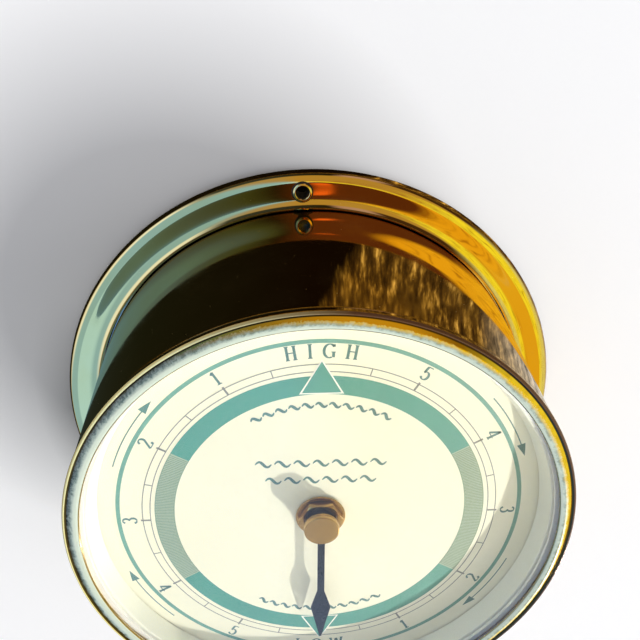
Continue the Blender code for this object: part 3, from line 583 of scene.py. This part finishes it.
def make_flange(brass):
    """Flat back, a flared edge that rounds over to a ridge, a dished land and a cove that sweeps up
    to the drum. Both ways from the ridge the reach is a running sum of a slope given in degrees at
    distances in mm. Three countersunk holes go through."""
    back, front = reaches("mounting_flange")
    outside = outer_radius("mounting_flange")
    bore = outer_radius("case_drum") + FIT
    land_out = outside - LAND_EDGE
    way_in = np.linspace(0, land_out - bore - 0.02 * MM, 90)
    rise = running_rise(
        way_in, [0, 0.5, 1.0, 1.5, 2.0, 2.5, 3.0, 3.5, 4.0, 4.3, 4.55, 4.85, 5.5, 6.0, 6.35, 6.6],
        [-4, -5.8, -6.3, -6.1, -5.5, -4.4, -2.7, 0.2, 5, 8, 11, 16, 30, 47, 62, 80])
    ridge = front - rise[-1]
    land = ridge - 0.15 * MM
    way_out = np.linspace(0.03 * MM, LAND_EDGE - 0.01 * MM, 60)
    fall = running_rise(way_out, [0, 0.2, 0.5, 1.0, 1.4, 1.65, 1.9, 2.15, 2.4, 2.6, 2.7],
                        [-2, 6, 9, 12, 16, 23, 33, 46, 60, 75, 86])
    flare = rounded([(bore, 2 * MM), (bore, back), (outside - 0.85 * MM, back), (outside - 0.1 * MM, 1.5 * MM),
                     (outside - 0.005 * MM, ridge - fall[-1] - 0.1 * MM)],
                    (0, 0.1, 0.2, 0.9, 0), closed=False)
    rim = np.stack([land_out + way_out, ridge - fall], -1)[::-1]
    cove = np.stack([land_out - way_in, ridge + rise], -1)
    profile = np.concatenate([flare, rim, cove, [(bore, front - 0.05 * MM)]])
    flange = turned("flange_ring", profile, brass)
    bore_radius = 1.75 * MM
    head_radius = 2.75 * MM
    hole = rounded([(0, -1 * MM), (bore_radius, -1 * MM), (bore_radius, land - 0.9 * MM),
                    (head_radius, land), (head_radius + 0.02 * MM, 8 * MM), (0, 8 * MM)],
                   (0, 0, 0.35, 0.25, 0, 0), 5, closed=False)
    cut_away(flange, [turned("hole_cutter", hole, brass, centre, 72, False) for centre in hole_places()])
    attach(flange, "case")
    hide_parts("mounting_flange")


def make_eyelets(brass):
    """A raised eyelet round each screw hole: a tube through the flange with a rounded collar. Its
    bore is painted near black below the collar as painted shade."""
    land = reaches("mounting_flange")[1] - 1.4 * MM
    profile = rounded(
        [(1.60 * MM, 0.4 * MM), (1.72 * MM, 0.4 * MM), (1.72 * MM, land - 1.0 * MM),
         (2.82 * MM, land - 0.1 * MM), (2.8 * MM, land + 0.15 * MM), (2.35 * MM, land + 0.7 * MM),
         (1.9 * MM, land + 0.92 * MM), (1.64 * MM, land + 0.6 * MM)],
        (0.02, 0.02, 0.1, 0.05, 0.1, 0.4, 0.2, 0.1))
    faces = grid_faces(72, len(profile), True, True).tolist()
    rings = [(turned_points(profile, centre, 72), faces) for centre in hole_places()]
    piece = make_piece("screw_eyelets", *join_parts(rings), brass)
    # Painted shade: the faces deep in the bore get a near-black material.
    piece.data.materials.append(plain_finish("bore_painted_shade", (0.03, 0.022, 0.014), 0.6, 0.3))
    deep = [-face.center.y < land + 0.45 * MM for face in piece.data.polygons]
    piece.data.polygons.foreach_set("material_index", np.array(deep, np.int32))
    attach(piece, "case")


def make_bezel(brass, band):
    """Rounded rim bead, a crease, a crowned band down to the opening, and the skirt into the drum.
    Faces in front of the lip are the band material's."""
    back, front = reaches("bezel")
    outside = outer_radius("bezel")
    opening = outside - 4.15 * MM
    rear = reaches("case_drum")[1] + FIT
    skirt = outer_radius("case_drum") - DRUM_WALL - FIT
    inner = skirt - 1.2 * MM
    lip = front - 0.8 * MM
    crease = outside - 1.1 * MM
    corners = [(inner, back), (skirt, back), (skirt, rear), (outside - 0.1 * MM, rear),
               (outside, front - 1.1 * MM), (outside - 0.4 * MM, front - 0.3 * MM), (crease, front - 0.72 * MM),
               (crease - 0.9 * MM, front - 0.15 * MM), (opening + 1.5 * MM, front + 0.05 * MM),
               (opening + 0.8 * MM, front - 0.1 * MM), (opening + 0.05 * MM, front - 0.42 * MM),
               (opening, lip), (inner, lip)]
    profile = rounded(corners, (0.1, 0.1, 0.1, 0.15, 0.8, 0.4, 0.04, 1.6, 1.6, 0.8, 0.25, 0.1, 0.1))
    ring = turned("bezel_ring", profile, brass, sides=384)
    ring.data.materials.append(band)
    x, y, z = np.array([tuple(face.center) for face in ring.data.polygons]).T
    on_band = (-y > lip + 0.02 * MM) | (np.hypot(x, z) > crease) & (-y > front - 1.0 * MM)
    ring.data.polygons.foreach_set("material_index", on_band.astype(np.int32))
    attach(ring, "bezel_ring")
    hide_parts("bezel")


def make_reflector(metal):
    """Conical ring with its foot on the dial and its front edge turned outwards under the gasket."""
    back, front = reaches("reflector_ring")
    edge = outer_radius("reflector_ring")
    foot = edge - 4.6 * MM
    top = foot + 1.55 * MM
    wall = 0.5 * MM
    corners = [(foot, back), (edge, back), (edge, back + wall), (foot + 2 * wall, back + wall),
               (top + wall, front - wall), (edge, front - wall), (edge, front), (top, front)]
    profile = rounded(corners, (0.05, 0.1, 0.1, 0.3, 0.15, 0.1, 0.1, 0.25))
    ring = turned("reflector_cone", profile, metal)
    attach(ring, "case")
    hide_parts("reflector_ring")


def make_dial_print():
    """Rings, hour ticks, the tide band, a triangle at high and at low water, numbers, arrows and, for
    the words, waves. The lower half repeats the upper."""
    unit = TICK_RING
    teal = ink("teal_ink", (0.064, 0.30, 0.215), 0.05)
    pale_teal = ink("pale_teal_ink", (0.13, 0.34, 0.25), 0.05)
    sage = ink("sage_ink", (0.20, 0.31, 0.19), 0.06)
    pale_sage = ink("pale_sage_ink", (0.40, 0.49, 0.34), 0.06)
    grey = ink("line_ink", (0.20, 0.21, 0.15))
    cream = ink("cream_ink", (0.94, 0.92, 0.78), 0.02)
    lettering = ink("lettering_ink", (0.075, 0.20, 0.165), 0.04)

    tick_in, tick_out = 0.9777 * unit, 1.0223 * unit
    printed("print_outer_circle", [dial_circle(1.1595 * unit, 1.0 * MM)], pale_teal)
    printed("print_hour_circles", [dial_circle(radius, 0.22 * MM) for radius in (tick_out, tick_in)], grey)
    ticks = []
    for angle in range(0, 360, 15):
        if angle % 180 == 0:
            continue
        bold = angle % 30 == 0
        ticks.append(spoke(angle, tick_in, tick_out + 0.012 * unit * bold, (0.5 if bold else 0.26) * MM))
    printed("print_hour_ticks", ticks, grey)

    inner, outer = 0.8394 * unit, 0.9522 * unit
    printed("print_tide_band", [dial_band(inner, outer, -60, 60), dial_band(inner, outer, 120, 240)], teal)
    tint = [dial_band(inner, outer, start, start + 60, TINT) for start in (60, 240)]
    printed("print_band_tint", tint, pale_sage)
    hatch = []
    border = 0.2 * MM
    for start in (60, 240):
        hatch += [spoke(start + 0.75 * k, inner, outer, 0.24 * MM, HATCHING) for k in range(1, 80)]
        hatch += [dial_band(inner, inner + border, start, start + 60, HATCHING + 0.001 * MM),
                  dial_band(outer - border, outer, start, start + 60, HATCHING + 0.001 * MM)]
    printed("print_band_hatch", hatch, sage)

    outlines = [pointer_mark(angle, 0.8395 * unit, 1.052 * unit, 8.1, HATCHING) for angle in (0, 180)]
    printed("print_pointer_outlines", outlines, cream)
    solid = [pointer_mark(angle, 0.848 * unit, 1.038 * unit, 7.0, POINTERS) for angle in (0, 180)]
    printed("print_pointers", solid, teal)

    numbers = []
    for angle, sign in ((30, "5"), (60, "4"), (90, "3"), (-30, "1"), (-60, "2"), (-90, "3"),
                        (120, "2"), (150, "1"), (-120, "4"), (-150, "5")):
        numbers += pen_strokes(sign, 1.057 * unit, angle, 0.58 * MM, abs(angle) > 90)
    numbers += pen_strokes("HIGH", 1.06 * unit, 0, 0.62 * MM, gap=0.55)
    numbers += pen_strokes("LOW", 1.06 * unit, 180, 0.62 * MM, True, 0.55)
    printed("print_numbers", numbers, lettering)

    arrows = []
    for start, end in ((-71, -47.5), (49.6, 71), (109, 131), (-131, -109)):
        arrows += arrow(1.212 * unit, start, end)
    printed("print_arrows", arrows, lettering)

    waves = []
    for middle_angle in (0, 180):
        for k in range(11):
            waves.append(wave_mark(middle_angle - 27 + 5.4 * k, 0.770 * unit, 0.032 * unit))
    for row, count in ((0.380, 7), (0.262, 6)):
        for k in range(count):
            waves.append(level_wave((k - (count - 1) / 2) * 0.107 * unit, row * unit, 0.045 * unit))
    printed("print_waves", waves, lettering)


def pointer_mark(angle, base, apex, half_angle, height):
    """Triangle that stands on the inner edge of the band with its point outwards."""
    wide = 2 * base * math.tan(math.radians(half_angle))
    return spoke(angle, base, apex, np.array([wide, 0.05 * MM]), height)


def arrow(radius, start, end):
    """Curved arrow on a circle of the dial, its head at the end that comes second."""
    way = 1 if end > start else -1
    line = ribbon(round_path(radius, start, end - way * 1.5, 24), 0.28 * MM, LETTERS)
    head = round_path(radius, end - way * 4.0, end, 6)
    widths = np.linspace(2.1 * MM, 0.05 * MM, 6)
    return [line, ribbon(head, widths, LETTERS + 0.002 * MM)]


def wave_ribbon(part, path):
    """A short wave's strip, thickest in the middle. Part runs from -1 to 1 along it."""
    return ribbon(path, (0.26 + 0.5 * (1 - part ** 2)) * MM, LETTERS)


def wave_mark(angle, radius, half):
    """One short wave set along a circle: a sine of one turn over its length."""
    part = np.linspace(-1, 1, 14)
    height = radius - 0.42 * half * np.sin(part * np.pi)
    return wave_ribbon(part, on_circle(height, math.radians(angle) + part * half / radius))


def level_wave(x, z, half):
    part = np.linspace(-1, 1, 14)
    height = z - 0.42 * half * np.sin(part * np.pi)
    return wave_ribbon(part, np.stack([x + part * half, height], -1))


def make_centre_hardware(brass):
    """Washer, hexagon nut, and the cap on the hand's pipe."""
    back, front = reaches("dial_washer")
    rim = outer_radius("dial_washer")
    bore = BUSH_RADIUS + FIT
    profile = rounded([(bore, back), (rim, back), (rim, front), (bore, front)], (0.12, 0.12, 0.12, 0.12))
    washer = turned("washer_disc", profile, brass, sides=96)
    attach(washer, "case")
    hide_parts("dial_washer")

    back, front = reaches("fixing_nut")
    nut = hexagon_nut("hex_nut", back, front, 5.0 * MM, bore, brass)
    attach(nut, "case")
    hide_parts("fixing_nut")

    back, front = reaches("cap_nut")
    low = reaches("tide_hand")[1] + 0.15 * MM
    pipe = 2.05 * MM
    foot = outer_radius("cap_nut")
    waist = foot - 0.25 * MM
    side = foot - 0.05 * MM
    corners = [(pipe, low), (foot, low), (foot, low + 0.4 * MM), (waist, low + 0.5 * MM),
               (side, low + 0.65 * MM), (side, front - 0.15 * MM), (0.0, front)]
    profile = rounded(corners, (0.05, 0.12, 0.1, 0.1, 0.1, 0.35, 0), closed=False)
    roof = [(0.0, low + 0.5 * MM), (pipe, low + 0.5 * MM)]
    cap = turned("domed_cap", np.concatenate([roof, profile]), brass, sides=96, closed=False)
    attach(cap, "hand_pack")
    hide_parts("cap_nut")


def make_movement_marks(plastic, steel):
    """Raised setting arrow round the knob, polarity marks, and four small screw heads on the cover."""
    back = reaches("movement_cover")[0]
    low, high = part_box("movement_cover")
    skin = back - 0.2 * MM - FACE
    knob = middle("setting_knob")
    knob_centre = np.array([knob.x, knob.z])

    def arc(start, end, steps):
        return knob_centre + round_path(8.0 * MM, start, end, steps)

    def bar(x, half_x, half_z, thick):
        z = low.z + 3.2 * MM
        return ribbon([(x - half_x, z - half_z), (x + half_x, z + half_z)], 0.5 * MM, skin, thick)

    plus_x, minus_x, half = high.x - 5 * MM, low.x + 5 * MM, 1.6 * MM
    ribs = [bar(plus_x, half, 0, 0.3 * MM), bar(minus_x, half, 0, 0.3 * MM), bar(plus_x, 0, half, 0.31 * MM),
            ribbon(arc(-120, 110, 40), 0.6 * MM, skin, 0.3 * MM),
            ribbon(arc(110, 128, 6), np.linspace(2.4, 0.1, 6) * MM, skin, 0.32 * MM)]
    marks = make_piece("movement_marks", *join_parts(ribs), plastic, 30)
    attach(marks, "case")

    top, head, drive = back + 0.3 * MM, back - 0.6 * MM, back - 0.2 * MM
    profile = rounded([(0.0, top), (1.7 * MM, top), (1.7 * MM, back - 0.35 * MM), (1.0 * MM, head),
                       (0.45 * MM, head), (0.35 * MM, drive), (0.0, drive)],
                      (0, 0.05, 0.3, 0.3, 0.05, 0.05, 0), closed=False)
    faces = grid_faces(40, len(profile), True, False).tolist()
    heads = [(turned_points(profile, (x, z), 40), faces) for x in (low.x + 3.6 * MM, high.x - 3.6 * MM)
             for z in (low.z + 9 * MM, high.z - 3.6 * MM)]
    screws = make_piece("cover_screws", *join_parts(heads), steel)
    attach(screws, "case")


def hexagon_nut(name, back, front, half_flats, bore, material):
    """Six flats whose corners are turned off at both ends: the radius at an angle is the lesser of
    the flat's and a cone's that comes in over the last part of the thickness."""
    sides = 144
    angle = np.arange(sides) * 2 * np.pi / sides
    within = (angle + np.pi / 6) % (np.pi / 3) - np.pi / 6
    flat = half_flats / np.cos(within)
    rise = np.linspace(0, 1, 9)
    depth = (front - back) * rise
    off = np.minimum(depth, (front - back) - depth)
    cone = half_flats * 1.03 + off * 1.7
    radius = np.minimum(flat[:, None], cone[None])
    reach = np.broadcast_to(back + depth, radius.shape)
    inner = np.full((sides, 1), bore)
    radius = np.concatenate([inner, radius, inner], 1)
    reach = np.concatenate([reach[:, :1], reach, reach[:, -1:]], 1)
    points = np.stack([radius * np.sin(angle)[:, None], -reach, radius * np.cos(angle)[:, None]], -1)
    return make_piece(name, points, grid_faces(sides, points.shape[1], True, True), material, 25)


def dress_nodes(finishes):
    """Better materials for the CAD nodes that keep their own shape."""
    for node, finish in finishes.items():
        mesh = NODES[node].data
        mesh.materials.clear()
        mesh.materials.append(finish)


# Camera, wall, floor and light

def make_camera():
    """The photograph's own viewpoint, from a fit of its circles. Lengths are in tick-ring radii."""
    azimuth, elevation, roll = math.radians(-3.378), math.radians(33.584), math.radians(0.487)
    distance, right_shift, up_shift = 4.9009, 0.0021, -0.6595
    focal_pixels = 840.68
    optical_row = 400.0
    frame_pixels = 640.0
    ahead = np.array([-math.sin(azimuth) * math.cos(elevation), math.cos(azimuth) * math.cos(elevation),
                      -math.sin(elevation)])
    level = np.array([math.cos(azimuth), math.sin(azimuth), 0.0])
    upright = np.cross(level, ahead)
    right = math.cos(roll) * level + math.sin(roll) * upright
    up = math.cos(roll) * upright - math.sin(roll) * level
    place = (-ahead * distance - right * right_shift - up * up_shift) * TICK_RING
    place[1] -= FACE
    camera = bpy.data.cameras.new("camera")
    camera.sensor_width = 36.0
    camera.lens = focal_pixels * camera.sensor_width / frame_pixels
    camera.shift_y = (optical_row - frame_pixels / 2) / frame_pixels
    camera.clip_start = 0.01
    holder = bpy.data.objects.new("camera", camera)
    turn = np.eye(4)
    turn[:3] = np.stack([right, up, -ahead, place], -1)
    holder.matrix_world = Matrix(turn.tolist())
    bpy.context.scene.collection.objects.link(holder)
    bpy.context.scene.camera = holder


# Tones of the room that the mirror brass sees
BRIGHT_COOL = (0.47, 0.98, 1.90)
COOL = (0.30, 0.67, 1.38)
CREAM = (0.95, 1.25, 1.90)
STEEL = (0.18, 0.34, 0.48)
DUSK = (0.05, 0.07, 0.08)
GLOOM = (0.02, 0.017, 0.008)
ROSE = (0.50, 0.36, 0.40)
PEAT = (0.06, 0.03, 0.012)
TAN = (0.42, 0.38, 0.26)
OAK = (0.50, 0.35, 0.09)
REED = (0.35, 0.36, 0.20)
STRAW = (0.85, 0.95, 0.45)
AMBER = (1.05, 1.06, 0.07)
HONEY = (0.86, 0.56, 0.03)
MOSS = (0.12, 0.33, 0.85)
FERN = (0.085, 0.20, 0.55)
OLIVE = (0.06, 0.11, 0.09)
BRONZE = (0.125, 0.05, 0.025)
RUST = (1.15, 0.30, 0.08)
TOFFEE = (1.02, 0.76, 0.05)

# Rings of the room, each with the angles off straight ahead between which it ends and its tones
# clockwise from overhead: as seen after one bounce, and after two.
SEEN_ONCE = (
    (100, 125, ((-180, STEEL), (-140, TAN), (-75, TAN), (-40, DUSK), (0, GLOOM), (60, PEAT), (85, REED),
                (120, STRAW), (180, STEEL))),
    (76, 86, ((-180, COOL), (-120, COOL), (-104, CREAM), (-50, CREAM), (-32, DUSK), (10, GLOOM), (15, ROSE),
              (27, ROSE), (32, PEAT), (62, PEAT), (85, STRAW), (140, STRAW), (180, COOL))),
    (42, 52, ((-180, BRIGHT_COOL), (-165, BRIGHT_COOL), (-140, COOL), (-55, COOL), (-25, TAN), (0, OAK),
              (62, OAK), (84, AMBER), (138, AMBER), (150, HONEY), (170, HONEY), (180, BRIGHT_COOL))),
    (14, 26, ((-180, BRIGHT_COOL), (-140, COOL), (-60, COOL), (-25, TAN), (0, OAK), (100, OAK), (135, AMBER),
              (150, HONEY), (180, BRIGHT_COOL))))
TWICE_LEFT = ((-180, MOSS), (-100, MOSS), (-62, FERN), (-30, OLIVE), (-14, GLOOM), (5, BRONZE))
TWICE_RIGHT = ((150, TOFFEE), (180, MOSS))
SEEN_TWICE = (
    (165, 180, (*TWICE_LEFT, (64, BRONZE), (80, TOFFEE), *TWICE_RIGHT)),
    (29, 35, (*TWICE_LEFT, (8, RUST), (15, RUST), (18, BRONZE), (64, BRONZE), (80, TOFFEE), *TWICE_RIGHT)),
    (21, 25, (*TWICE_LEFT, (64, BRONZE), (82, TOFFEE), *TWICE_RIGHT)))


def mirrored_room(tree, turn, off_axis, rings):
    """Light of the room by direction: nearer rings lie over the farther ones with soft edges."""
    light = GLOOM
    for inner, outer, tones in rings:
        stops = [((angle + 180) / 360, colour) for angle, colour in tones]
        near = spread(tree, off_axis, math.radians(inner), math.radians(outer))
        light = between(tree, near, shade_ramp(tree, turn, stops), light)
    return light


def wall_paint():
    """What the eye sees of the wall is grey paint with a painted shadow of the clock: a glow for the eye
    that grows with the distance from a place behind the clock's upper left, paint darkened along the
    flange's left edge, and paint nearly black under the clock as painted shade. What the mirror brass
    sees is a dim corner with dry reeds to its right. The wall is clear from behind, to shadow rays,
    and to the mirror rays that would meet it behind the clock."""
    grey = (0.60, 0.597, 0.59)
    made, tree, shader = material_with("wall_paint", grey, 0.0, 0.9, Specular_IOR_Level=0.0)
    seen = new_node(tree, "LightPath").outputs
    angle, _, radius = dial_polar(tree)

    # Painted shadow: the wall glows for the eye more the farther it lies from a place behind the clock's upper
    # left.
    away = new_node(tree, "VectorMath", Vector=object_place(tree))
    away.operation = "DISTANCE"
    away.inputs[1].default_value = (-38 * MM, 0.0, 30 * MM)
    paler = spread(tree, away.outputs["Value"], 47 * MM, 88 * MM, 0.01, 0.44)
    # Painted shade: the wall is painted nearly black behind the clock and gets no glow there.
    past_clock = spread(tree, radius, 69 * MM, 69.5 * MM)
    # Painted shadow: the wall is painted darker near the flange's left edge.
    near_edge = spread(tree, radius, 70 * MM, 82 * MM, 1.0, 0.0)
    left_shade = times(tree, near_edge, spread(tree, angle, -1.1, -1.6))
    paint = between(tree, left_shade, grey, (0.33, 0.33, 0.33))
    feed(tree, shader, Base_Color=between(tree, past_clock, (0.02, 0.018, 0.015), paint),
         Emission_Color=(1.0, 0.995, 0.98),
         Emission_Strength=times(tree, seen["Is Camera Ray"], times(tree, paler, past_clock)))

    streaks = combined(tree, times(tree, angle, 22.0), times(tree, radius, 90.0), 0.0)
    streaks = noise(tree, streaks, 1.0, 8.0, 0.72)
    golden = shade_ramp(tree, streaks, [(0.38, (0.03, 0.016, 0.004)), (0.50, (0.09, 0.05, 0.012)),
                                        (0.57, (0.28, 0.17, 0.035)), (0.67, (0.95, 0.66, 0.20))])
    silvery = shade_ramp(tree, streaks, [(0.36, (0.20, 0.19, 0.17)), (0.66, (1.30, 1.25, 1.15))])
    reeds = between(tree, spread(tree, angle, 0.95, 1.6), golden, silvery)
    turn = plus(tree, calculate(tree, "DIVIDE", angle, 2 * math.pi), 0.5)
    dim = shade_ramp(tree, turn, [(0.08, DUSK), (0.20, (0.022, 0.03, 0.022)), (0.34, (0.010, 0.012, 0.006)),
                                  (0.50, (0.006, 0.003, 0.001))])
    edge = plus(tree, angle, times(tree, radius, 10.4))
    lit = spread(tree, plus(tree, edge, times(tree, streaks, 0.10)), 1.01, 1.11)
    glow = new_node(tree, "Emission", Color=between(tree, lit, dim, reeds))
    as_mirrored = mixed_shader(tree, seen["Is Glossy Ray"], shader, glow)

    side = new_node(tree, "NewGeometry")
    clear = calculate(tree, "MAXIMUM", side.outputs["Backfacing"], seen["Is Shadow Ray"])
    behind_clock = times(tree, seen["Is Glossy Ray"], spread(tree, radius, 70.5 * MM, 71.5 * MM, 1.0, 0.0))
    clear = calculate(tree, "MAXIMUM", clear, behind_clock)
    mix = mixed_shader(tree, clear, as_mirrored, new_node(tree, "BsdfTransparent"))
    feed(tree, tree.nodes["Material Output"], Surface=mix.outputs[0])
    return made


def make_stage():
    """A wall half a millimetre behind the clock and a pale floor well below it."""
    half = 1.6
    back = 0.5 * MM
    level = -0.6
    corners = [(-half, back, level), (half, back, level), (half, back, half), (-half, back, half)]
    wall = plain_sheet("wall", corners, wall_paint())
    floor_paint = material_with("floor_paint", (0.86, 0.86, 0.86), 0.0, 0.9, Specular_IOR_Level=0.0)[0]
    floor = plain_sheet("floor", [(-4, -4, level), (4, -4, level), (4, 4, level), (-4, 4, level)], floor_paint)
    floor.visible_glossy = False
    return wall


def plain_sheet(name, corners, material):
    mesh = bpy.data.meshes.new(name)
    mesh.from_pydata(corners, [], [(0, 1, 2, 3)])
    mesh.materials.append(material)
    sheet = bpy.data.objects.new(name, mesh)
    bpy.context.scene.collection.objects.link(sheet)
    return sheet


def lamp(name, place, target, size, power, colour=(1.0, 1.0, 1.0)):
    light = bpy.data.lights.new(name, "AREA")
    light.size = size
    light.energy = power
    light.color = colour
    holder = bpy.data.objects.new(name, light)
    holder.location = place
    holder.rotation_mode = "QUATERNION"
    holder.rotation_quaternion = (Vector(target) - Vector(place)).to_track_quat("-Z", "Y")
    bpy.context.scene.collection.objects.link(holder)
    return holder


def link_to(holder, wall, state):
    """Has a lamp leave out the wall, or light only the wall."""
    listed = bpy.data.collections.new(holder.name + "_links")
    listed.objects.link(wall)
    holder.light_linking.receiver_collection = listed
    listed.collection_objects[0].light_linking.link_state = state


def make_lamps(wall):
    """A small warm key from the lower right for the clock alone, a wide one for the wall alone, and
    one behind for the views from there."""
    centre = (0.0, -0.05, 0.0)
    sun = np.array([0.580, -0.451, -0.696]) * 0.85
    key = lamp("key", tuple(sun + centre), centre, 0.014, 6.9, (1.0, 0.965, 0.92))
    link_to(key, wall, "EXCLUDE")
    wide = lamp("wide_right", (0.75, -0.6, -0.1), (0.0, 0.0, 0.05), 0.7, 3.0)
    link_to(wide, wall, "INCLUDE")
    wide.visible_glossy = False
    rear = lamp("rear", (0.3, 0.9, 0.5), centre, 0.8, 6.0)
    rear.visible_glossy = False


def make_world():
    """Plain and pale for the eye and for matt surfaces. For the mirror brass a room that is cool on
    the left, amber on the right and dark overhead, with thin wavy lines over its sunny part. Turn
    runs from 0 to 1 clockwise from below, with overhead in the middle."""
    world = bpy.data.worlds.new("studio")
    bpy.context.scene.world = world
    world.use_nodes = True
    tree = world.node_tree
    place = new_node(tree, "TexCoord").outputs["Generated"]
    x, y, z = new_node(tree, "SeparateXYZ", Vector=place).outputs
    turn = calculate(tree, "DIVIDE", calculate(tree, "ARCTAN2", x, z), 2 * math.pi)
    ripple = times(tree, noise(tree, place, 5.0, 3.0, 0.6), 0.02)
    turn = plus(tree, plus(tree, turn, ripple), 0.5 - 0.01)
    off_axis = calculate(tree, "ARCCOSINE", times(tree, y, -1.0))
    seen = new_node(tree, "LightPath").outputs
    again = spread(tree, seen["Glossy Depth"], 1.4, 1.6)
    mirrored = between(tree, again, mirrored_room(tree, turn, off_axis, SEEN_ONCE),
                       mirrored_room(tree, turn, off_axis, SEEN_TWICE))
    level = times(tree, noise(tree, place, 3.0, 2.0, 0.5), 16.0)
    line = spread(tree, calculate(tree, "PINGPONG", level, 0.5), 0.0, 0.16, 1.0, 0.0)
    sunny = times(tree, spread(tree, turn, 0.66, 0.70), spread(tree, turn, 0.90, 0.95, 1.0, 0.0))
    mirrored = between(tree, times(tree, times(tree, line, sunny), 0.7), mirrored, (0.30, 0.12, 0.01))
    plain = between(tree, seen["Is Camera Ray"], (0.72, 0.735, 0.80), (0.86, 0.86, 0.86))
    shown = between(tree, seen["Is Glossy Ray"], plain, mirrored)
    feed(tree, tree.nodes["Background"], Color=shown, Strength=1.0)


def make_all():
    brass = polished_brass()
    small_brass = brushed_metal("turned_brass", (0.50, 0.31, 0.10), 0.2)
    steel = plain_finish("blued_steel", (0.02, 0.025, 0.035), 0.3, 0.7)
    make_drum(brass)
    make_flange(brass)
    make_eyelets(brass)
    make_bezel(brass, bezel_band_metal())
    make_reflector(satin_reflector_metal())
    make_dial_print()
    make_centre_hardware(small_brass)
    black = plain_finish("black_plastic", (0.03, 0.03, 0.033), 0.45)
    white = plain_finish("white_acetal", (0.80, 0.79, 0.72), 0.4)
    iron = brushed_metal("motor_iron", (0.55, 0.56, 0.58), 0.35)
    make_movement_marks(black, iron)
    rubber = plain_finish("black_rubber", (0.02, 0.02, 0.02), 0.75)
    finishes = {
        "glass_gasket": plain_finish("pale_silicone", (0.94, 0.94, 0.88), 0.6, shift=0.02,
                                     Specular_IOR_Level=0.1),
        "dial_plate": dial_enamel(), "glass": window_glass(), "dial_cushion": rubber,
        "movement_housing": black, "movement_cover": black, "setting_knob": black, "chip_blob": black,
        "dial_seat_ring": small_brass, "threaded_tube": small_brass, "hand_bush": small_brass,
        "centre_arbor": small_brass, "tide_hand": steel, "stator": iron, "coil_core": iron,
        "quartz_crystal": iron, "negative_contact": iron, "positive_contact": iron, "clutch_spring": iron,
        "rotor_magnet": plain_finish("magnet_ferrite", (0.05, 0.05, 0.055), 0.5),
        "coil_winding": brushed_metal("copper_wire", (0.75, 0.30, 0.12), 0.3, 9.0),
        "circuit_board": plain_finish("board_laminate", (0.03, 0.16, 0.08), 0.35),
        "battery_cell": plain_finish("cell_jacket", (0.06, 0.065, 0.08), 0.3, 0.4)}
    for node in ("coil_bobbin", "tide_wheel", "intermediate_wheel", "centre_wheel", "third_wheel",
                 "fourth_wheel", "fifth_wheel", "rotor_arbor", "setting_arbor"):
        finishes[node] = white
    dress_nodes(finishes)


make_camera()
make_lamps(make_stage())
make_world()
bpy.context.scene.view_settings.view_transform = "Standard"
make_all()
